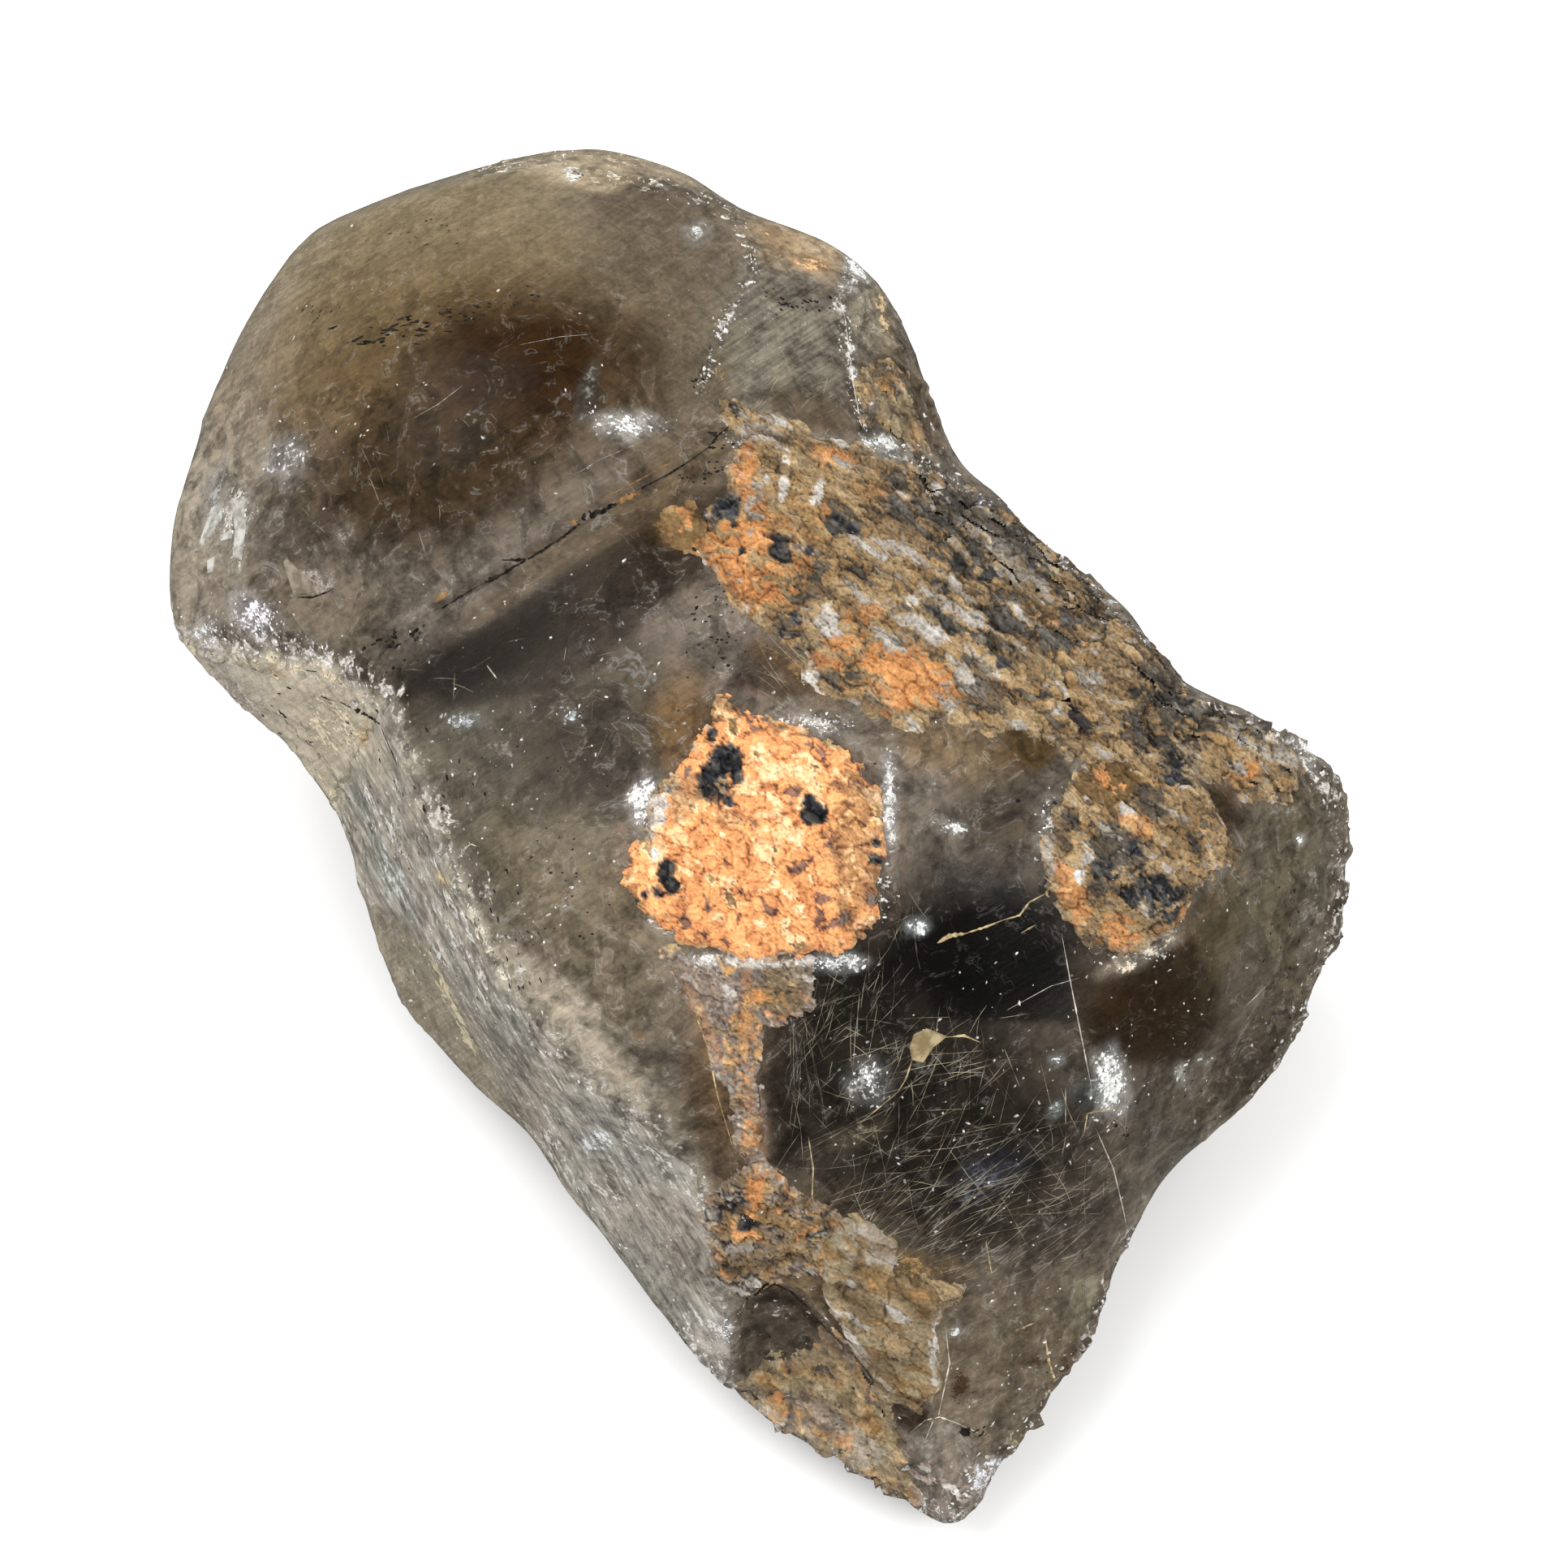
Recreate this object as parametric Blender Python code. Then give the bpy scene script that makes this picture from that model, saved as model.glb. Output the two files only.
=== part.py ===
"""Smoky quartz: one rough, broken lump of dark crystal with a crust of rusty rock on its top.

The lump rests on a flat broken face at z = 0. Points below are millimetres: x across the lump,
y from its pointed toe (front) to its thick round head (back) and z above the floor.
"""

import math

import bmesh
import bpy
from mathutils import Vector, noise
from mathutils.geometry import delaunay_2d_cdt, intersect_point_line

MM = 0.001

# Driving dimensions, in millimetres unless they say otherwise.
LEAN = math.radians(62)     # seen along this slope, the upper skin hides none of itself
SINK = 3.0                  # the foot is drawn this far too deep, then cut off flat
SKIN_GRID = 1.25            # spacing of the skin while it is being worked
FACE_BUDGET = 11800         # triangles left before the foot, which has its share, is cut off
SMOOTH_ROUNDS = 8
SHARP_REACH = 2.4           # skin nearer than this to a sharp edge keeps its edge
FLAT_GIVE = 0.4             # how far the broken flats are rounded, against 1 for the head
FULLNESS = 0.45             # what the rounding takes off, put back
CRUST_RISE = 0.8
CRUST_GRAIN = 3.4
STRIATION_PITCH = 2.4
STRIATION_DEPTH = 0.6
BREAK_SIZES = (16.0, 7.0)   # hackly breaks of the sides and the underside
BREAK_DEPTHS = (2.2, 0.9)

OPEN_SIDE = Vector((0, -math.cos(LEAN), math.sin(LEAN)))

# The widest line around the lump, clockwise from the back of the head.
RIM = [
    (-16.5, 56, 46), (-7, 52.5, 46), (-3, 48.5, 46), (2.5, 48, 45), (7, 45.5, 44), (10, 41, 42),
    (12, 37, 40), (13.5, 32.5, 38), (16, 28, 34), (20, 24, 35), (23.5, 19, 36), (27.5, 13.5, 36),
    (32, 10, 35), (33.5, 7, 34), (37, 3.5, 36), (44.5, 0.5, 34), (47.5, -2, 32), (48.5, -4, 30),
    (48.5, -7.5, 27), (48, -11.5, 25), (46, -15.5, 22), (43.5, -21, 19), (39.5, -26, 17),
    (33, -30.5, 15), (30, -36, 14), (26.5, -44, 12), (22, -50, 10), (18, -54.5, 8), (15, -57.5, 7),
    (13, -58.5, 7), (9.5, -57, 7), (5, -54, 7), (-0.5, -51.5, 8), (-4.5, -48, 9), (-8.5, -44.5, 10),
    (-12, -40.5, 11), (-15.5, -36, 12), (-19.5, -30, 11), (-22.5, -24.5, 9), (-26, -23, 8),
    (-30.5, -18.5, 8), (-35, -13, 9), (-38, -7, 11), (-39, -2.5, 13), (-40.5, 3, 17),
    (-44, 6.5, 21), (-46, 7, 24), (-50, 9, 28), (-52.5, 10.5, 32), (-54, 13, 35), (-54, 17, 37),
    (-53.5, 21.5, 38), (-52.5, 27.5, 38), (-52, 33, 39), (-50, 38.5, 40), (-46.5, 44.5, 42),
    (-43.5, 48.5, 43), (-35.5, 51, 45), (-29, 53.5, 46), (-24, 55.5, 46),
]

# The corners of the big flats below the rim, in the same direction around.
WAIST = [
    (-17, 58, 30), (-3, 50, 19), (9, 47, 31), (15, 33, 16), (25, 22, 27), (31, 12, 12),
    (45, 3, 22), (47, -8, 11), (42, -14.5, 8), (33, -25, 7), (27, -36, 6), (20, -49, 4),
    (13.5, -56, 3), (1, -49.5, 3), (-13, -34.5, 5), (-24, -20, 4), (-34, -9, 5), (-36, 2, 8),
    (-46, 12, 18), (-52, 24, 25), (-47, 38, 17), (-39, 50, 28),
]

# Where the lump meets the floor.
FOOT = [
    (-12, 50), (10, 38), (22, 24), (38, 4), (37, -14), (28, -28), (18, -47), (11, -52),
    (-3, -42), (-13, -29), (-27, -10), (-36, 12), (-38, 30), (-28, 44),
]

# Edges between the flats of the upper skin. The sharp ones stay crisp.
SHARP_EDGES = {
    "head_ledge": [(-45.5, 9.5, 42), (-49, 9, 37), (-43, 5.5, 41), (-38, 3, 43), (-35, 1, 44.5),
                   (-32, -2, 46)],
    "flank_edge": [(-32, -2, 46), (-30, -7, 45), (-27, -14.5, 44), (-23.5, -21, 43),
                   (-20.5, -27, 42), (-16.5, -31, 40), (-11.5, -34, 37), (-7.5, -37, 33),
                   (-5, -40, 29), (-5, -43.5, 24)],
    "shoulder_edge": [(-4.5, 42, 50), (-1.5, 39, 49), (2.5, 39, 48), (5, 37.5, 47), (6, 30.5, 47),
                      (7, 25, 46)],
    "plateau_edge": [(6, -7.5, 50), (8.5, -13.5, 49), (8, -21.5, 47), (6.5, -25, 45.5),
                     (-0.5, -25.5, 44.5), (-7, -25, 45)],
    "crystal_edge": [(22, -20, 40), (24, -27.5, 35), (26.5, -33.5, 27), (30, -36, 14)],
    "tail_edge": [(43.5, -4, 36), (42, -11.5, 33), (39.5, -18.5, 31), (30, -26, 30),
                  (24, -27.5, 35)],
    "cavity_lip": [(-4, -46.5, 16), (-3.5, -43.5, 21), (0, -42.5, 22.5), (3, -44, 21.5),
                   (6, -47, 18), (9, -50, 14)],
    "shell_edge": [(5, -39, 27), (10, -42, 24), (13, -46.5, 19), (12.5, -51, 15), (14.5, -54, 11)],
}
SOFT_EDGES = {
    "head_back": [(-40.5, 44.5, 47), (-34.5, 46, 49), (-27.5, 48, 51), (-19, 48, 52),
                  (-9.5, 45.5, 51), (-4.5, 42, 50)],
    "head_side": [(-40.5, 44.5, 47), (-43.5, 32.5, 48), (-45, 23.5, 46), (-45.5, 16, 44),
                  (-45.5, 9.5, 42)],
    "head_step": [(-4.5, 42, 50), (-5, 35, 51), (-6.5, 28.5, 52), (-7, 24.5, 51), (-4, 22.5, 50)],
    "vein": [(-4, 22.5, 50), (-9.5, 15.5, 52), (-15, 11, 52.5), (-21.5, 8, 51), (-27, 5, 49),
             (-32, 2.5, 47)],
    "right_crest": [(7, 25, 46), (9, 19, 47), (13, 10, 48), (18, 3, 47), (24, -2, 45),
                    (31.5, -2, 42), (40, -2, 38), (43.5, -4, 36)],
    "neck_corner": [(-32, -2, 46), (-34.5, -0.5, 37), (-37.5, 0.5, 28), (-40.5, 3, 17)],
    "lobe_crease": [(-39, -2.5, 13), (-33.5, -10, 17), (-29, -16.5, 14), (-25.5, -21.5, 11.5),
                    (-22.5, -24.5, 9)],
}

# Single points that bend the flats between those edges.
SWELLS = {
    "head_face": [(-28, 36, 54.5), (-18, 35, 55.5), (-32.5, 26.5, 54.5), (-21.5, 23.5, 57.5),
                  (-11.5, 26, 55.5), (-36.5, 18.5, 51), (-26.5, 15.5, 55), (-16, 17, 55.5),
                  (-38.5, 11.5, 47), (-32, 10, 50.5), (-24, 11, 52.5)],
    "head_flank": [(-49.5, 20.5, 41), (-49.5, 14.5, 40)],
    "shoulder": [(-0.5, 32.5, 50.5), (0.5, 26, 50), (3, 22, 48.5), (8, 42.5, 44.5),
                 (10, 33.5, 43), (10, 26.5, 42)],
    "neck_wall": [(-44.5, 6.5, 33), (-39.5, 3.5, 32)],
    "middle_face": [(-26.5, -1, 48.5), (-17, 1.5, 51), (-9.5, 7, 52), (-22, -10, 48),
                    (-13, -9.5, 50.5), (-16.5, -21, 47.5), (-11, -29.5, 45)],
    "flank_wall": [(-32, -10, 33), (-27.5, -18, 30), (-22, -25, 26), (-16.5, -32, 23),
                   (-11, -37.5, 19), (-8, -42, 15)],
    "lobe": [(-36, -8, 14.5), (-30.5, -17.5, 10.5)],
    "stained_top": [(-0.5, 15.5, 51), (-2.5, 5.5, 52), (5, 7.5, 51), (8.5, -1.5, 51),
                    (1, -2.5, 51.5), (2, -14.5, 50.5), (-4, -18, 49), (-7.5, -7.5, 51)],
    "right_flank": [(14.5, 20.5, 41), (20, 13, 42), (27.5, 5, 41), (36, 0, 38.5)],
    "dark_face": [(13.5, -9.5, 49), (21.5, -11, 45), (15, -18, 43.5), (10.5, -26.5, 40),
                  (17.5, -24.5, 38.5), (2, -29.5, 40.5), (-2.5, -34.5, 38), (8, -33.5, 35),
                  (17, -33.5, 31), (-0.5, -39, 31), (24, -36, 24), (11.5, -38, 29),
                  (19, -41, 21)],
    "right_patch": [(27, -10.5, 43), (33.5, -10, 41), (28, -17.5, 40)],
    "tail_face": [(31.5, -20, 36), (36, -23.5, 26), (33, -28.5, 22), (45.5, -9, 31)],
    "toe_face": [(17.5, -46, 17), (22, -44.5, 15), (19, -49.5, 12), (16, -52.5, 11)],
    "cavity": [(-0.5, -44, 13), (2.5, -47.5, 10.5), (-2, -47, 11.5), (6.5, -51, 10)],
}

# Grainy rock on the top: centre, half length, half width and turn (degrees) of each patch.
CRUSTS = {
    "main_patch": ((-2, -15.3), 10.4, 10.2, 0),
    "upper_patch": ((-1, 12), 10.5, 6, 115),
    "small_patch": ((9, -0.5), 5, 3.6, -15),
    "right_patch": ((27.5, -12.5), 7, 6, -20),
}
CRUST_LEVEL = 38            # crust lies only on skin above this height

# The smooth glassy head lies on this side of the lump, past this border.
HEAD_SIDE = Vector((-0.53, 0.85, 0)).normalized()
HEAD_BORDER = (18, 24)

# The steep left flank: which way it faces and runs, and where its ribs begin.
FLANK_FACING = Vector((-0.88, -0.47, 0.05)).normalized()
FLANK_RUN = Vector((0.46, -0.86, -0.2)).normalized()
FLANK_START = -36
FLANK_FOOT = 12

# Rough broken band along the back right shoulder: the line it follows and its half width.
ROUGH_BAND = [(11, 34), (16, 20), (24, 9), (36, 0)]
ROUGH_HALF_WIDTH = 7.5
ROUGH_DEPTH = 1.1
ROUGH_GRAIN = 5.0


def remove_everything():
    for old in list(bpy.data.objects):
        bpy.data.objects.remove(old, do_unlink=True)


def slope_plane(point):
    """Where a point lies when the lump is seen along its lean."""
    return Vector((point.x, point.y * math.sin(LEAN) + point.z * math.cos(LEAN)))


class Cage:
    """The lump's own points, each held once, and the edges and faces between them."""

    def __init__(self):
        self.points = []
        self.edges = []
        self.places = {}

    def add(self, xyz):
        if xyz not in self.places:
            self.places[xyz] = len(self.points)
            self.points.append(Vector(xyz))
        return self.places[xyz]

    def add_line(self, line):
        ends = [self.add(xyz) for xyz in line]
        self.edges += list(zip(ends, ends[1:]))

    def upper_faces(self, rim):
        flat = [slope_plane(point) for point in self.points]
        made = delaunay_2d_cdt(flat, self.edges, [rim], 1, 1e-6)
        if len(made[0]) != len(flat):
            raise ValueError("two edges of the upper skin cross, or a point lies off the lump")
        old = [source[0] for source in made[3]]
        return [[old[corner] for corner in face] for face in made[2]]


def stitch(shape, upper, lower):
    """Joins two loops that run the same way round, across the shorter diagonal each time."""
    low = min(range(len(lower)), key=lambda i: (lower[i].co - upper[0].co).length)
    lower = lower[low:] + lower[:low]
    i = j = 0
    while i < len(upper) or j < len(lower):
        here, there = upper[i % len(upper)], lower[j % len(lower)]
        next_here, next_there = upper[(i + 1) % len(upper)], lower[(j + 1) % len(lower)]
        up_cost = (next_here.co - there.co).length if i < len(upper) else math.inf
        down_cost = (next_there.co - here.co).length if j < len(lower) else math.inf
        if up_cost < down_cost:
            shape.faces.new((here, there, next_here))
            i += 1
        else:
            shape.faces.new((here, there, next_there))
            j += 1


def cage_mesh():
    """The closed cage: the upper skin, the flats below its rim and the foot."""
    cage = Cage()
    rim = [cage.add(xyz) for xyz in RIM]
    for line in list(SHARP_EDGES.values()) + list(SOFT_EDGES.values()):
        cage.add_line(line)
    for group in SWELLS.values():
        for xyz in group:
            cage.add(xyz)
    faces = cage.upper_faces(rim)
    shape = bmesh.new()
    corners = [shape.verts.new(point * MM) for point in cage.points]
    for face in faces:
        shape.faces.new([corners[i] for i in face])
    waist = [shape.verts.new(Vector(xyz) * MM) for xyz in WAIST]
    foot = [shape.verts.new(Vector((x, y, -SINK)) * MM) for x, y in FOOT]
    stitch(shape, [corners[i] for i in rim], waist)
    stitch(shape, waist, foot)
    shape.faces.new(foot)
    bmesh.ops.recalc_face_normals(shape, faces=shape.faces)
    mesh = bpy.data.meshes.new("cage")
    shape.to_mesh(mesh)
    shape.free()
    return mesh


def modified(mesh, kind, **settings):
    """A mesh with one modifier worked into it."""
    holder = bpy.data.objects.new("holder", mesh)
    bpy.context.scene.collection.objects.link(holder)
    modifier = holder.modifiers.new("work", kind)
    for name, value in settings.items():
        setattr(modifier, name, value)
    graph = bpy.context.evaluated_depsgraph_get()
    made = bpy.data.meshes.new_from_object(holder.evaluated_get(graph))
    bpy.data.objects.remove(holder)
    bpy.data.meshes.remove(mesh)
    return made


def line_distance(point, line):
    """How far a point is from a line of short stretches."""
    nearest = math.inf
    for start, end in zip(line, line[1:]):
        foot, share = intersect_point_line(point, start, end)
        foot = start if share < 0 else end if share > 1 else foot
        nearest = min(nearest, (point - foot).length)
    return nearest


def smooth_step(low, high, value):
    share = min(1.0, max(0.0, (value - low) / (high - low)))
    return share * share * (3 - 2 * share)


def softness(point):
    """How freely the skin is rounded at a point, 0 to 1."""
    nearest = min(line_distance(point, [Vector(xyz) for xyz in line])
                  for line in SHARP_EDGES.values())
    glassy = smooth_step(*HEAD_BORDER, point.dot(HEAD_SIDE)) * smooth_step(26, 34, point.z)
    give = FLAT_GIVE + (1 - FLAT_GIVE) * glassy
    return give * (0.15 + 0.85 * smooth_step(0.4, SHARP_REACH, nearest))


def round_off(shape):
    """Rounds the head well and the flats a little, but leaves the sharp edges crisp."""
    give = {vert: softness(vert.co / MM) for vert in shape.verts}
    for _ in range(SMOOTH_ROUNDS):
        moved = {}
        for vert in shape.verts:
            around = [edge.other_vert(vert).co for edge in vert.link_edges]
            middle = sum(around, Vector()) / len(around)
            moved[vert] = vert.co.lerp(middle, 0.5 * give[vert])
        for vert, place in moved.items():
            vert.co = place


def crust_share(point):
    """How much of a point's skin is grainy crust, 0 to 1."""
    if point.z < CRUST_LEVEL:
        return 0.0
    ragged = 0.2 * noise.noise(point / 4.5)
    most = 0.0
    for (x, y), length, width, turn in CRUSTS.values():
        cos, sin = math.cos(math.radians(turn)), math.sin(math.radians(turn))
        along = (point.x - x) * cos + (point.y - y) * sin
        across = (point.y - y) * cos - (point.x - x) * sin
        reach = math.hypot(along / length, across / width) + ragged
        most = max(most, 1 - smooth_step(0.86, 1.02, reach))
    return most


def crust_lift(point, normal):
    grain = noise.turbulence(point / CRUST_GRAIN, 2, True)
    return crust_share(point) * CRUST_RISE * (0.55 + 0.9 * grain)


def rough_lift(point, normal):
    """Broken, granular skin on the back right shoulder."""
    if normal.z < 0.1:
        return 0.0
    line = [Vector((x, y, 0)) for x, y in ROUGH_BAND]
    away = line_distance(Vector((point.x, point.y, 0)), line)
    share = 1 - smooth_step(0.7, 1.1, away / ROUGH_HALF_WIDTH)
    return share * ROUGH_DEPTH * noise.noise(point / ROUGH_GRAIN)


def flank_lift(point, normal):
    """Long fine ribs along the steep left flank, left by its crystal growth."""
    facing = smooth_step(0.45, 0.75, normal.dot(FLANK_FACING))
    if facing == 0 or point.x < FLANK_START or point.z < FLANK_FOOT:
        return 0.0
    along = point.dot(FLANK_RUN)
    across = point.dot(FLANK_FACING.cross(FLANK_RUN))
    rib = noise.noise(Vector((along / 22, across / STRIATION_PITCH, 0)))
    return facing * STRIATION_DEPTH * rib


def broken_lift(point, normal):
    """Hackly breaks on the back, the sides and the underside."""
    facing_away = smooth_step(0.3, -0.2, normal.dot(OPEN_SIDE))
    if facing_away == 0:
        return 0.0
    lift = 0.0
    for size, depth in zip(BREAK_SIZES, BREAK_DEPTHS):
        near, far = noise.voronoi(point / size)[0][:2]
        lift += depth * (min(far - near, 0.5) - 0.3)
    return facing_away * lift


def swell_lift(point, normal):
    """The fullness that rounding took, and the slow unevenness of the whole skin."""
    return FULLNESS + 0.5 * noise.noise(point / 14) + 0.22 * noise.noise(point / 5.5)


def roughen(shape):
    """Moves the skin along its normals by what each kind of surface asks for."""
    shape.normal_update()
    lifted = {}
    for vert in shape.verts:
        point = vert.co / MM
        lifts = (crust_lift, rough_lift, flank_lift, broken_lift, swell_lift)
        lift = sum(make(point, vert.normal) for make in lifts)
        lifted[vert] = vert.co + vert.normal * lift * MM
    for vert, place in lifted.items():
        vert.co = place


def cut_flat(shape):
    """Cuts the foot off at the floor, so the lump rests on one flat face."""
    everything = shape.verts[:] + shape.edges[:] + shape.faces[:]
    cut = bmesh.ops.bisect_plane(shape, geom=everything, plane_co=(0, 0, 0), plane_no=(0, 0, 1),
                                 clear_inner=True)
    rim = [piece for piece in cut["geom_cut"] if isinstance(piece, bmesh.types.BMEdge)]
    bmesh.ops.contextual_create(shape, geom=rim)
    bmesh.ops.recalc_face_normals(shape, faces=shape.faces)


def centre(shape):
    """Puts the middle of the lump's box over the origin."""
    xs = [vert.co.x for vert in shape.verts]
    ys = [vert.co.y for vert in shape.verts]
    middle = Vector((min(xs) + max(xs), min(ys) + max(ys), 0)) / 2
    bmesh.ops.translate(shape, verts=shape.verts, vec=-middle)


def worked(mesh, *steps):
    """Opens a mesh, does some steps to it and puts it back."""
    shape = bmesh.new()
    shape.from_mesh(mesh)
    for step in steps:
        step(shape)
    shape.to_mesh(mesh)
    shape.free()


def quartz_material():
    material = bpy.data.materials.new("smoky_quartz")
    material.use_nodes = True
    surface = material.node_tree.nodes["Principled BSDF"]
    surface.inputs["Base Color"].default_value = (0.13, 0.10, 0.075, 1)
    surface.inputs["Roughness"].default_value = 0.25
    surface.inputs["Metallic"].default_value = 0.0
    surface.inputs["IOR"].default_value = 1.544
    surface.inputs["Transmission Weight"].default_value = 0.6
    return material


def smoky_quartz():
    mesh = modified(cage_mesh(), "REMESH", mode="VOXEL", voxel_size=SKIN_GRID * MM)
    worked(mesh, round_off, roughen)
    full = sum(len(face.vertices) - 2 for face in mesh.polygons)
    mesh = modified(mesh, "DECIMATE", ratio=FACE_BUDGET / full, use_collapse_triangulate=True)
    worked(mesh, cut_flat, centre)
    mesh.name = "smoky_quartz"
    mesh.materials.clear()
    mesh.materials.append(quartz_material())
    lump = bpy.data.objects.new("smoky_quartz", mesh)
    bpy.context.scene.collection.objects.link(lump)


remove_everything()
smoky_quartz()
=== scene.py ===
"""The looks of the smoky quartz lump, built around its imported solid.

Places on the lump are given in pixels of a 1932 x 1932 frame, as the camera sees them, and are
cast from the camera onto the skin. Sizes are in millimetres.
"""

import math
import random

import bmesh
import bpy
import numpy as np
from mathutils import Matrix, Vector, noise
from mathutils.bvhtree import BVHTree


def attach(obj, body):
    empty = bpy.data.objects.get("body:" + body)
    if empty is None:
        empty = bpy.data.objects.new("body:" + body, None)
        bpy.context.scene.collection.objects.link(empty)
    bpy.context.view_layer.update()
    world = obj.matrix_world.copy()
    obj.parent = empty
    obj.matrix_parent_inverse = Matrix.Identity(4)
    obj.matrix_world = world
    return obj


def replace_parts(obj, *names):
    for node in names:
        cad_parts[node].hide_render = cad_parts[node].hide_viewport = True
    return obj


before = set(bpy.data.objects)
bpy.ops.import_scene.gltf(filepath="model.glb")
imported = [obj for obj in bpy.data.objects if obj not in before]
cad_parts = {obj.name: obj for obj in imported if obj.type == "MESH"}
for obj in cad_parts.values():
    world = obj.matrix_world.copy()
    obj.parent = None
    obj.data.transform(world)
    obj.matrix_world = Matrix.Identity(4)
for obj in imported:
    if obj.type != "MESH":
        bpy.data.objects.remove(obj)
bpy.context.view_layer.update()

MM = 0.001
NODE = "smoky_quartz"
BODY = "root"
SEED = 11

noise.seed_set(SEED)        # noise_vector starts from the clock otherwise

# ---------------------------------------------------------------- camera

FRAME_PIXELS = 1932
LENS = 60.0
SENSOR = 36.0
CAMERA_RISE = math.radians(62)
CAMERA_REACH = 227.0
TARGET = np.array([2.7, 0.0, 28.0])
TO_CAMERA = np.array([0.0, -math.cos(CAMERA_RISE), math.sin(CAMERA_RISE)])
CAMERA_UP = np.array([0.0, math.sin(CAMERA_RISE), math.cos(CAMERA_RISE)])
CAMERA_PLACE = TARGET + TO_CAMERA * CAMERA_REACH
HALF_VIEW = SENSOR / 2 / LENS
HALF_FRAME = FRAME_PIXELS / 2
PIXEL = 2 * CAMERA_REACH * HALF_VIEW / FRAME_PIXELS     # about what a pixel spans on the lump (mm)


def to_pixels(points):
    """Where points in millimetres fall in the reference frame."""
    away = points - CAMERA_PLACE
    depth = -(away @ TO_CAMERA)
    across = HALF_FRAME * (1 + away[:, 0] / depth / HALF_VIEW)
    down = HALF_FRAME * (1 - away @ CAMERA_UP / depth / HALF_VIEW)
    return np.stack([across, down], axis=1)


def sight_line(x, y):
    """The direction from the camera through a pixel."""
    side = np.array([1.0, 0.0, 0.0]) * (x - HALF_FRAME) / HALF_FRAME * HALF_VIEW
    drop = CAMERA_UP * (y - HALF_FRAME) / HALF_FRAME * HALF_VIEW
    line = side - drop - TO_CAMERA
    return line / np.linalg.norm(line)


def facing_camera(points, normals):
    """How squarely each normal faces the camera: 1 straight at it, 0 side on."""
    sight = CAMERA_PLACE - points
    sight /= np.linalg.norm(sight, axis=1)[:, None]
    return np.einsum("ij,ij->i", sight, normals)


# ---------------------------------------------------------------- small tools

def link(obj):
    bpy.context.scene.collection.objects.link(obj)
    return obj


def ramp(low, high, values):
    share = np.clip((values - low) / (high - low), 0.0, 1.0)
    return share * share * (3 - 2 * share)


def blend(first, second, share):
    """Colours on their way from one to another."""
    return first + (second - first) * np.reshape(share, (-1, 1))


def line_distance(pixels, line):
    """How far each pixel place is from a line of short stretches."""
    best = np.full(len(pixels), np.inf)
    for start, end in zip(line, line[1:]):
        start, end = np.array(start, float), np.array(end, float)
        run = end - start
        share = np.clip((pixels - start) @ run / (run @ run), 0, 1)
        gap = pixels - start - share[:, None] * run
        best = np.minimum(best, np.hypot(gap[:, 0], gap[:, 1]))
    return best


def outline_depth(pixels, outline):
    """How far inside a closed outline each pixel place is, negative outside."""
    closed = outline + outline[:1]
    inside = np.zeros(len(pixels), bool)
    x, y = pixels[:, 0], pixels[:, 1]
    for (x0, y0), (x1, y1) in zip(closed, closed[1:]):
        crosses = (y0 > y) != (y1 > y)
        if y0 != y1:
            inside ^= crosses & (x < x0 + (y - y0) * (x1 - x0) / (y1 - y0))
    return np.where(inside, 1, -1) * line_distance(pixels, closed)


def oval_reach(pixels, centre, halves, turn):
    """0 at the centre of a turned oval, 1 on its edge."""
    angle = math.radians(turn)
    away = pixels - np.array(centre)
    along = away[:, 0] * math.cos(angle) + away[:, 1] * math.sin(angle)
    across = away[:, 1] * math.cos(angle) - away[:, 0] * math.sin(angle)
    return np.hypot(along / halves[0], across / halves[1])


def noise_at(points, size, shift=0.0):
    """Smooth noise, about -1 to 1, with lumps of a given size in millimetres."""
    return np.array([noise.noise(p) for p in (points / size + shift).tolist()])


def fractal_at(points, size, octaves=4, shift=0.0):
    """Rough noise of several sizes at once."""
    places = (points / size + shift).tolist()
    return np.array([noise.fractal(p, 0.8, 2.1, octaves) for p in places])


def chips_at(points, size, shift=0.0):
    """Flat chips that tilt this way and that: the height of each point on its own chip."""
    return Chips(points, size, shift).height


class Chips:
    """Flat chips that tilt this way and that. Each point gets its height on its own chip, two
    values that are the chip's own, and how near it is to the gap between chips, from 0 to 1."""

    def __init__(self, points, size, shift=0.0):
        heights, picks, choices, gaps = [], [], [], []
        for place in (points / size + shift).tolist():
            reach, centres = noise.voronoi(place)
            own = noise.noise_vector(centres[0] * 3.7)
            heights.append(own.dot(Vector(place) - centres[0]))
            picks.append(0.5 + 0.5 * noise.cell(centres[0] * 91.7))
            choices.append(0.5 + 0.5 * noise.cell(centres[0] * 57.3))
            gaps.append(reach[1] - reach[0])
        self.height = np.array(heights) * size
        self.pick = np.array(picks)
        self.choice = np.array(choices)
        self.gap = ramp(0.08, 0.0, np.array(gaps))


def tell(mesh, name, values):
    """Keeps a value from 0 to 1 for each point, for the material to read."""
    kept = mesh.attributes.new(name, "FLOAT", "POINT")
    kept.data.foreach_set("value", np.clip(values, 0, 1).astype(np.float32))


def tell_colour(mesh, name, colours):
    tell_vector(mesh, name, np.clip(colours, 0, 1))


def tell_vector(mesh, name, vectors):
    kept = mesh.attributes.new(name, "FLOAT_VECTOR", "POINT")
    kept.data.foreach_set("vector", vectors.astype(np.float32).ravel())


def linear(red, green, blue):
    """A screen colour, 0 to 255, as the linear colour that Blender uses."""
    shares = np.array([red, green, blue]) / 255
    return np.where(shares <= 0.04045, shares / 12.92, ((shares + 0.055) / 1.055) ** 2.4)


# ---------------------------------------------------------------- features, in pixels

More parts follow.
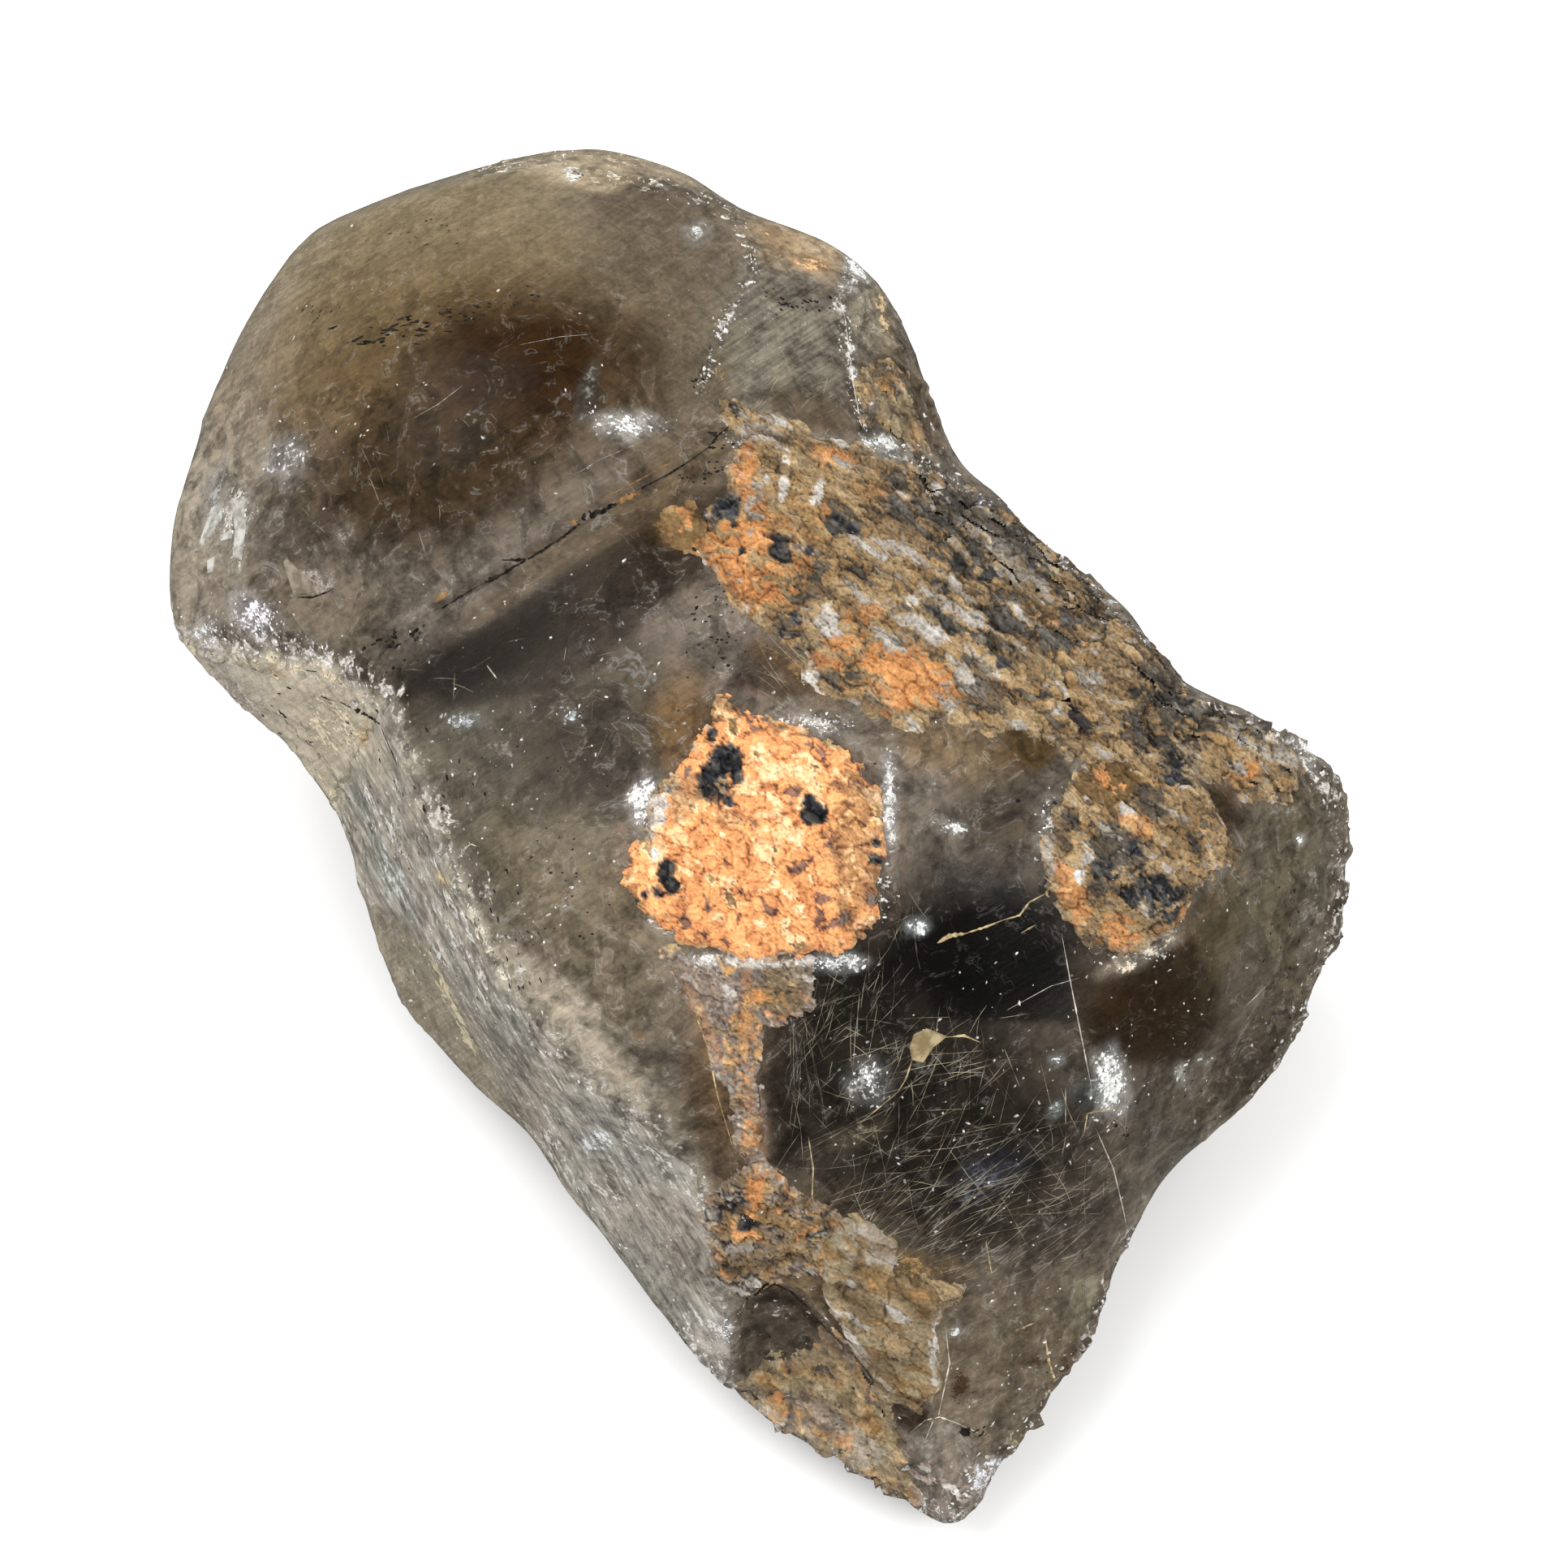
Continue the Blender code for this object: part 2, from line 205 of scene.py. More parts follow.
LINES = {
    "flank_edge": [(474, 864), (505, 940), (545, 1050), (592, 1150), (642, 1240), (705, 1312),
                   (785, 1378), (850, 1440), (885, 1510), (890, 1600)],
    "head_ledge": [(205, 775), (262, 795), (330, 800), (400, 816), (440, 838), (474, 864)],
    "shoulder_rim": [(912, 270), (930, 335), (900, 385), (878, 430), (862, 485)],
    "shoulder_crest": [(1062, 318), (1040, 345), (1032, 372), (1045, 430), (1052, 480), (1064, 535),
                       (1120, 560), (1165, 600)],
    "end_rim": [(1440, 868), (1500, 885), (1560, 905), (1620, 945), (1655, 990), (1655, 1060),
                (1640, 1180), (1590, 1300), (1555, 1345)],
    "toe_rim": [(1395, 1530), (1350, 1640), (1290, 1740), (1230, 1812), (1170, 1870), (1105, 1845),
                (1040, 1805), (960, 1765), (900, 1712), (820, 1640)],
    "back_rim": [(590, 205), (690, 190), (720, 215), (800, 225), (850, 240), (905, 262)],
    "saddle_rim": [(1150, 585), (1185, 605), (1250, 640), (1340, 730), (1420, 800), (1450, 850)],
    "vein": [(905, 520), (870, 548), (820, 588), (740, 632), (690, 665), (640, 695), (600, 722),
             (550, 750), (510, 778), (470, 800)],
}

OUTLINES = {
    "flank": LINES["flank_edge"][:-1] + [
        (895, 1600), (905, 1730), (845, 1665), (740, 1540), (650, 1400), (600, 1380), (485, 1250),
        (430, 1090), (405, 1000), (440, 930)],
    "neck": [(195, 770), (262, 797), (330, 804), (400, 820), (440, 842), (470, 866), (440, 930),
             (410, 1005), (355, 935), (260, 862)],
    "shoulder": [(935, 330), (1000, 345), (1035, 372), (1050, 450), (1064, 535), (1000, 530),
                 (905, 500), (862, 485), (878, 430), (905, 375)],
    "shoulder_side": [(1045, 345), (1075, 330), (1130, 440), (1190, 600), (1150, 600),
                      (1064, 535), (1050, 450)],
    "main": [(905, 868), (925, 880), (975, 895), (1020, 915), (1060, 945), (1085, 985), (1090, 1060),
             (1080, 1130), (1052, 1168), (955, 1184), (850, 1168), (800, 1130), (768, 1095),
             (772, 1055), (795, 1020), (800, 975), (835, 950), (868, 900), (885, 858)],
    "saddle": [(873, 482), (930, 498), (975, 522), (1016, 546), (1060, 550), (1112, 575),
               (1150, 584), (1184, 604), (1250, 636), (1345, 725), (1435, 810), (1462, 858),
               (1560, 898), (1610, 940), (1590, 985), (1540, 985), (1500, 960), (1430, 945),
               (1340, 940), (1310, 925), (1262, 900), (1215, 900), (1165, 880), (1133, 899),
               (1090, 889), (1037, 862), (995, 835), (990, 800), (936, 772), (894, 730),
               (865, 682), (866, 625), (899, 607), (899, 576), (912, 540), (895, 512)],
    "grit": [(1060, 555), (1150, 584), (1184, 604), (1250, 636), (1345, 725), (1435, 810),
             (1462, 858), (1560, 898), (1600, 940), (1570, 985), (1500, 950), (1430, 935),
             (1340, 925), (1270, 880), (1235, 830), (1190, 740), (1140, 660)],
    "right": [(1300, 1000), (1330, 945), (1400, 925), (1460, 950), (1500, 1000), (1530, 1055),
              (1475, 1100), (1440, 1150), (1380, 1185), (1335, 1165), (1292, 1090), (1288, 1040)],
    "low": [(868, 1480), (905, 1440), (935, 1435), (985, 1470), (1030, 1490), (1055, 1530),
            (1015, 1572), (965, 1570), (915, 1600), (872, 1570)],
    "hollow": [(905, 1670), (915, 1605), (950, 1580), (985, 1590), (1010, 1625), (1050, 1665),
               (1090, 1720), (1110, 1780), (1135, 1850), (1090, 1840), (1000, 1785), (930, 1735)],
    "cavity": [(912, 1706), (932, 1682), (968, 1668), (1004, 1666), (1014, 1636), (1034, 1642),
               (1060, 1680), (1090, 1720), (1110, 1780), (1135, 1850), (1090, 1840), (1000, 1785),
               (930, 1735)],
    "shell": [(1025, 1508), (1062, 1498), (1108, 1530), (1104, 1566), (1150, 1580), (1206, 1584),
              (1160, 1608), (1150, 1640), (1156, 1700), (1134, 1746), (1086, 1708), (1040, 1645),
              (1016, 1592)],
    "streak": [(858, 1176), (1002, 1180), (1000, 1248), (966, 1262), (940, 1260), (932, 1318),
               (930, 1396), (944, 1446), (918, 1446), (914, 1396), (908, 1334), (896, 1318),
               (876, 1262), (862, 1222)],
    "rill": [(822, 1176), (846, 1174), (870, 1226), (896, 1282), (918, 1340), (936, 1398),
             (936, 1424), (914, 1420), (894, 1350), (866, 1290), (844, 1236)],
    "tip": [(1112, 1812), (1156, 1800), (1192, 1812), (1232, 1790), (1228, 1822), (1196, 1860),
            (1168, 1880), (1120, 1858)],
    "crag": [(1060, 474), (1074, 446), (1104, 436), (1122, 462), (1130, 512), (1146, 556),
             (1124, 556), (1092, 530), (1064, 518)],
    "tab": [(803, 664), (822, 630), (846, 618), (872, 636), (876, 690), (852, 672), (826, 676)],
    "lobe": [(436, 1100), (500, 1130), (529, 1181), (552, 1227), (583, 1289), (614, 1328),
             (645, 1367), (656, 1406), (600, 1395), (480, 1262), (424, 1100)],
    "toe": [(1165, 1650), (1350, 1600), (1355, 1650), (1290, 1750), (1180, 1875), (1100, 1850),
            (1000, 1790), (1100, 1725), (1150, 1745)],
    "end": [(1500, 880), (1600, 900), (1680, 980), (1680, 1130), (1600, 1330), (1500, 1420),
            (1440, 1400), (1520, 1290), (1595, 1160), (1600, 1060), (1570, 960)],
}
# The outlines that the skin follows: how much fine grain, chips and big chips stand up there (mm)
# and how much of the colour is in chips. The other outlines bound the crusts.
ZONES = {
    "shoulder_side": (0.3, 0.3, 0, 1),
    "grit": (0.4, 0.5, 0, 1),
    "low": (0.3, 0.3, 0, 1),
    "toe": (0.1, 0.22, 0.1, 0.5),
    "end": (0.12, 0, 0.2, 0.5),
    "shoulder": (0.12, 0, 0, 0),
    "neck": (0.3, 0.25, 0, 0.25),
    "flank": (0.12, 0, 0, 0.35),
    "lobe": (0, 0, 0, 0),
    "hollow": (0, 0, 0, 0.8),
    "cavity": (0.4, 0.35, 0, 0),
}


# ---------------------------------------------------------------- the skin

HIDDEN_GRID = 0.92          # the skin's mesh where it is hidden (mm); half of that where it is seen
SMOOTH_ROUNDS = 9           # before the seen side is refined
FINE_ROUNDS = 4             # and after
FINE_FACING = 0.04          # the skin is refined where it faces the camera more than this
ZONE_SOFT = 12.0            # a zone's border: how soft and how ragged it is (pixels)
ZONE_RAGGED = 10.0


def remeshed(mesh, grid):
    """A mesh made again on an even grid."""
    holder = link(bpy.data.objects.new("holder", mesh))
    work = holder.modifiers.new("work", "REMESH")
    work.mode = "VOXEL"
    work.voxel_size = grid
    graph = bpy.context.evaluated_depsgraph_get()
    made = bpy.data.meshes.new_from_object(holder.evaluated_get(graph))
    bpy.data.objects.remove(holder)
    bpy.data.meshes.remove(mesh)
    return made


class Skin:
    """The lump's skin: its mesh as arrays, in millimetres, with a place in the frame for each."""

    def __init__(self, node):
        self.mesh = remeshed(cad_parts[node].data.copy(), HIDDEN_GRID * MM)
        self.read()
        self.smooth(SMOOTH_ROUNDS)
        self.refine()
        self.read()
        self.smooth(FINE_ROUNDS)
        self.refresh()

    def read(self):
        edges = np.empty(len(self.mesh.edges) * 2, np.int32)
        self.mesh.edges.foreach_get("vertices", edges)
        self.edges = edges.reshape(-1, 2)
        flat = np.empty(len(self.mesh.vertices) * 3, np.float32)
        self.mesh.vertices.foreach_get("co", flat)
        self.points = flat.reshape(-1, 3).astype(float) / MM
        self.ties = np.bincount(self.edges.ravel(), minlength=len(self.points))
        self.refresh()

    def refine(self):
        """Halves the grid on the side that is seen."""
        self.refresh()
        shape = bmesh.new()
        shape.from_mesh(self.mesh)
        shape.verts.ensure_lookup_table()
        seen = self.facing > FINE_FACING
        faces = [face for face in shape.faces if all(seen[vert.index] for vert in face.verts)]
        edges = {edge for face in faces for edge in face.edges}
        edges = sorted(edges, key=lambda edge: edge.index)
        bmesh.ops.subdivide_edges(shape, edges=edges, cuts=1, use_grid_fill=True)
        bmesh.ops.triangulate(shape, faces=[face for face in shape.faces if len(face.verts) > 4])
        shape.to_mesh(self.mesh)
        shape.free()

    def refresh(self):
        """Puts the points back in the mesh and reads its normals again."""
        self.mesh.vertices.foreach_set("co", (self.points * MM).astype(np.float32).ravel())
        self.mesh.update()
        flat = np.empty(len(self.points) * 3, np.float32)
        self.mesh.vertex_normals.foreach_get("vector", flat)
        self.normals = flat.reshape(-1, 3).astype(float)
        self.pixels = to_pixels(self.points)
        self.facing = facing_camera(self.points, self.normals)
        self.seen = ramp(-0.05, 0.12, self.facing)

    def around(self, values):
        """The mean of each point's neighbours."""
        first, second = self.edges[:, 0], self.edges[:, 1]
        total = np.bincount(first, values[second], len(values))
        total += np.bincount(second, values[first], len(values))
        return total / self.ties

    def smooth(self, rounds):
        for _ in range(rounds):
            middle = np.stack([self.around(self.points[:, k]) for k in range(3)], axis=1)
            self.points += (middle - self.points) * 0.5

    def near(self, name, reach):
        """1 on a named line, falling to 0 at a reach in pixels."""
        return ramp(reach, 0, line_distance(self.pixels, LINES[name])) * self.seen

    def within(self, name):
        """1 inside a named outline, with a soft, ragged border, for the skin that is seen."""
        depth = outline_depth(self.pixels, OUTLINES[name]) + ZONE_RAGGED * self.ragged
        return ramp(-ZONE_SOFT, ZONE_SOFT, depth) * self.seen

    def tree(self):
        """The skin in millimetres, for casting lines onto."""
        faces = [list(face.vertices) for face in self.mesh.polygons]
        return BVHTree.FromPolygons(self.points.tolist(), faces)


# Edges that are crushed: how far the crushing reaches (pixels), how much of it is pale, how far
# it is broken up (mm) and its colour.
RIMS = {
    "head_ledge": (38, 0.44, 0.5, (196, 187, 181)),
    "end_rim": (30, 0.34, 0.8, (190, 185, 176)),
    "toe_rim": (24, 0.32, 0.7, (178, 170, 166)),
    "shoulder_rim": (11, 0.30, 0.4, (196, 193, 184)),
    "shoulder_crest": (11, 0.34, 0.4, (204, 202, 195)),
    "back_rim": (16, 0.30, 0.3, (204, 192, 168)),
    "saddle_rim": (24, 0.34, 0.6, (150, 147, 144)),
    "flank_edge": (20, 0.14, 0.30, (200, 190, 174)),
}

TOE_POINT = (1156, 1846)            # where the toe comes to a point
TOE_PULL = (0.8, -1.6, 0.0)         # how far it is drawn out (mm)
TOE_REACH = 115                     # and the pixels around it that follow
HOLLOW_ROWS = (1790, 1640)          # the rows between which the hollow deepens
HOLLOW_DEPTH = 1.7
SHELL_HEART = (1165, 1745)          # the shell's rings lie around this place
SHELL_RING = 7.0                    # pixels for each radian of a ring
FLANK_RUN = (0.5, 0.866)            # the way the flank's ribs run in the frame
NEEDLE_RUN = (0.84, -0.54)          # the way most needles lie


def run_space(pixels, run, length, width):
    """Places measured along and across a direction in the frame, for long thin noise."""
    along = pixels @ np.array(run)
    across = pixels @ np.array([-run[1], run[0]])
    return np.stack([along / length, across / width, np.zeros(len(pixels))], axis=1)


def sculpt(skin):
    """Works the breaks, ribs and hollows of the real surface into the skin."""
    points, pixels = skin.points, skin.pixels
    skin.ragged = noise_at(points, 3.2) + 0.6 * noise_at(points, 1.3, 5.0)
    skin.zone = zone = {name: skin.within(name) for name in ZONES}
    hidden = ramp(0.0, -0.4, skin.facing)
    fine = fractal_at(points, 2.4, 4)
    chips = chips_at(points, 3.2)
    big_chips = chips_at(points, 8.0, 9.0)

    lift = 0.08 * noise_at(points, 9.0, 3.0)
    lift += 0.3 * hidden * (big_chips * 0.5 + fine)
    for name, (of_fine, of_chips, of_big, _) in ZONES.items():
        lift += zone[name] * (of_fine * fine + of_chips * chips + of_big * big_chips)
    ribs = noise_at(run_space(pixels, FLANK_RUN, 120, 11), 1.0)
    ribs += 1.4 * noise_at(run_space(pixels, FLANK_RUN, 220, 34), 1.0, 7.0)
    lift += zone["flank"] * 0.2 * ribs
    for name, (reach, _, depth, _) in RIMS.items():
        lift += skin.near(name, reach) * depth * (0.5 * fine + 0.6 * chips)
    lift -= ramp(7, 0, line_distance(pixels, LINES["vein"])) * skin.seen * 0.3

    hollow = outline_depth(pixels, OUTLINES["hollow"]) + 5 * skin.ragged
    lift -= HOLLOW_DEPTH * ramp(-3, 14, hollow) * ramp(*HOLLOW_ROWS, pixels[:, 1]) * skin.seen
    plate = outline_depth(pixels, OUTLINES["shell"]) + 2 * skin.ragged
    rings = np.sin(np.hypot(*(pixels - SHELL_HEART).T) / SHELL_RING)
    lift += ramp(-2, 8, plate) * (0.45 + 0.06 * rings) * skin.seen
    skin.points += skin.normals * lift[:, None]
    skin.points += np.outer(ramp(TOE_REACH, 0, np.hypot(*(pixels - TOE_POINT).T)), TOE_PULL)
    skin.points[:, 2] = np.maximum(skin.points[:, 2], 0)
    skin.refresh()


# ---------------------------------------------------------------- colours of the quartz

HIDDEN_CHIPPED = 0.35       # how much of the hidden side's colour is in chips
BODY_TONE = linear(108, 98, 86)
HIDDEN_TONE = linear(92, 80, 63)
HIDDEN_PALE = linear(146, 133, 113)
ZONE_TONES = {"flank": ((182, 175, 163), 0.85), "lobe": ((146, 134, 114), 0.9),
              "neck": ((230, 217, 194), 0.9)}
RIDGE_TONE = linear(190, 180, 162)
THIN_TONE = linear(176, 166, 146)       # thin edges that light comes through
WHITE = linear(232, 230, 226)
FROST_ROWS = (520, 430)     # the rows between which the shoulder's frost sets in
BODY_SHARE = 0.66           # how much of a tone the skin itself shows; light from inside adds more

# Soft clouds of colour, laid in the skin as if they were inside the lump: centre, half sizes,
# turn (degrees), colour, strength. The pale of the head's top is partly painted reflection haze,
# and the band along the back rim is painted reflection haze.
TONES = {
    # partly the quartz's paler top, partly painted reflection haze of the room
    "head_pale_sheen": ((470, 330), (330, 220), 0, (138, 122, 92), 0.9),
    "head_right": ((820, 390), (120, 200), 0, (106, 93, 74), 0.85),
    "head_glow": ((560, 460), (280, 170), -8, (92, 72, 44), 0.85),
    "head_dark": ((650, 455), (165, 105), -8, (50, 31, 10), 0.97),
    "head_dark_low": ((520, 590), (210, 105), -20, (56, 41, 22), 0.9),
    "head_left": ((255, 640), (80, 180), 10, (150, 139, 122), 0.8),
    "head_edge": ((300, 440), (60, 110), 25, (146, 130, 108), 0.7),
    "head_low": ((390, 750), (120, 50), 10, (112, 100, 84), 0.7),
    "vein_side": ((800, 590), (130, 40), -34, (98, 82, 60), 0.6),
    "middle_grey": ((620, 960), (230, 120), 55, (90, 83, 68), 0.85),
    "middle_upper": ((770, 700), (190, 90), -35, (66, 52, 37), 0.9),
    "vein_band": ((690, 690), (200, 20), -34, (104, 90, 70), 0.85),
    "middle_dark": ((590, 812), (150, 62), -22, (24, 16, 8), 0.98),
    "middle_blue": ((581, 826), (16, 14), 0, (16, 18, 20), 0.8),
    "middle_right": ((760, 900), (150, 120), 20, (66, 56, 41), 0.85),
    "middle_centre": ((700, 950), (110, 80), 0, (58, 49, 38), 0.8),
    "middle_amber": ((845, 880), (50, 80), 0, (112, 84, 48), 0.6),
    "middle_low": ((730, 1130), (200, 90), 60, (118, 106, 86), 0.85),
    "milky_edge": ((690, 1250), (240, 34), 44, (172, 160, 140), 0.8),
    "low_amber": ((890, 1330), (60, 180), 0, (96, 76, 52), 0.8),
    "right_middle": ((1180, 925), (100, 50), 10, (120, 100, 74), 0.85),
    "right_brown": ((1265, 915), (50, 46), 0, (70, 56, 36), 0.85),
    "right_dark": ((1240, 1010), (90, 60), 0, (66, 55, 42), 0.85),
    "black_low": ((1170, 1400), (270, 210), 15, (34, 28, 22), 0.97),
    "black_left": ((1040, 1270), (100, 150), 0, (34, 29, 23), 0.95),
    "black_main": ((1200, 1170), (210, 120), -5, (9, 8, 6), 0.99),
    "brown_block": ((1420, 1245), (115, 80), -5, (46, 32, 16), 0.96),
    "block_side": ((1490, 1150), (46, 80), 30, (68, 56, 38), 0.8),
    "brown_corner": ((1500, 1000), (50, 50), 0, (60, 44, 28), 0.85),
    "end_grey": ((1590, 1110), (70, 170), 8, (92, 84, 66), 0.9),
    "end_low": ((1560, 1300), (80, 120), 20, (76, 67, 54), 0.85),
    "tail": ((1460, 1400), (110, 80), -30, (84, 76, 62), 0.9),
    "toe_grey": ((1270, 1680), (150, 120), -30, (108, 96, 78), 0.9),
    "toe_left": ((1190, 1740), (60, 60), 0, (120, 106, 88), 0.8),
    "low_left": ((960, 1560), (110, 110), 0, (104, 84, 58), 0.75),
    "cavity_grey": ((955, 1640), (50, 60), 0, (72, 64, 54), 0.9),
    "shell": ((1095, 1630), (60, 110), -25, (140, 122, 90), 0.9),
    "shoulder_grey": ((965, 430), (95, 110), 0, (124, 117, 102), 0.9),
    "shoulder_foot": ((1000, 500), (84, 36), 12, (84, 73, 58), 0.95),
    "shoulder_side": ((1120, 460), (50, 130), -20, (80, 66, 47), 0.88),
    "shoulder_side_top": ((1074, 385), (34, 60), -14, (144, 134, 114), 0.8),
    "shoulder_top": ((985, 300), (80, 45), 25, (176, 152, 118), 0.85),
    # painted reflection haze along the back rim
    "back_sheen_band": ((740, 203), (170, 22), 5, (182, 164, 134), 0.85),
    "slate_band": ((1500, 880), (90, 22), 20, (64, 60, 54), 0.9),
}

# Facets whose tone changes at a crisp edge: corners, colour, strength, softness in pixels.
FACETS = {
    "under_vein": ([(900, 596), (850, 622), (790, 655), (700, 706), (620, 754), (560, 792),
                    (505, 832), (560, 872), (700, 850), (800, 760), (870, 700)],
                   (28, 20, 11), 0.6, 7),
    "vein_strip": ([(905, 530), (870, 556), (740, 642), (640, 703), (550, 760), (556, 782),
                    (620, 744), (700, 692), (790, 644), (850, 610), (890, 580)],
                   (92, 78, 60), 0.6, 5),
    "head_curtain": ([(560, 398), (640, 388), (722, 400), (734, 450), (728, 505), (690, 520),
                      (600, 480)], (46, 28, 8), 0.5, 6),
    "brown_block": ([(1316, 1196), (1390, 1192), (1462, 1156), (1500, 1170), (1502, 1262),
                     (1478, 1300), (1440, 1312), (1380, 1308), (1342, 1290)],
                    (44, 31, 15), 0.7, 6),
    "block_side": ([(1466, 1150), (1500, 1082), (1532, 1070), (1530, 1150), (1504, 1230)],
                   (92, 82, 60), 0.6, 5),
    "black_step": ([(1130, 1180), (1200, 1166), (1290, 1160), (1316, 1200), (1330, 1262),
                    (1240, 1258), (1150, 1256)], (8, 7, 6), 0.7, 8),
    "dark_run": ([(950, 1300), (990, 1296), (996, 1340), (990, 1440), (956, 1440), (948, 1380)],
                 (36, 28, 21), 0.7, 6),
    "orange_seam": ([(910, 1186), (934, 1180), (936, 1226), (928, 1268), (934, 1300), (924, 1300),
                     (916, 1250)], (170, 122, 82), 0.25, 6),
    "orange_drop": ([(922, 1344), (936, 1352), (946, 1392), (944, 1440), (926, 1442), (928, 1396)],
                    (180, 128, 84), 0.3, 6),
    "orange_streak": ([(832, 1180), (842, 1180), (858, 1228), (866, 1262), (886, 1310), (894, 1366),
                       (912, 1420), (902, 1424), (880, 1372), (876, 1320), (852, 1262)],
                      (160, 124, 88), 0.2, 5),
    "hollow": ([(910, 1606), (948, 1584), (986, 1594), (1012, 1630), (1008, 1662), (968, 1672),
                (934, 1688), (906, 1700)], (84, 75, 64), 0.85, 5),
    "hollow_shade": ([(930, 1598), (950, 1586), (986, 1596), (1014, 1632), (1004, 1640),
                      (978, 1612), (950, 1606)], (34, 28, 22), 0.8, 4),
    "shell_shade": ([(1000, 1580), (1020, 1590), (1080, 1700), (1092, 1730), (1070, 1716)],
                    (58, 46, 34), 0.6, 5),
    "dark_shard": ([(940, 1190), (990, 1196), (960, 1300), (935, 1300)], (60, 46, 34), 0.5, 6),
    "toe_pane": ([(1326, 1578), (1352, 1570), (1356, 1612), (1330, 1640), (1316, 1620)],
                 (132, 126, 104), 0.6, 3),
    "toe_wedge": ([(1080, 1716), (1130, 1722), (1160, 1760), (1150, 1782), (1100, 1750)],
                  (48, 34, 24), 0.85, 4),
    "glass_cap": ([(1122, 1764), (1150, 1746), (1190, 1756), (1208, 1786), (1180, 1830),
                   (1136, 1812)], (134, 124, 112), 0.6, 4),
    "saddle_glass": ([(925, 790), (990, 806), (1010, 850), (960, 862), (900, 840)],
                     (58, 42, 26), 0.7, 8),
    "right_glass": ([(1240, 888), (1290, 884), (1304, 930), (1280, 950), (1244, 936)],
                    (84, 66, 40), 0.85, 4),
}
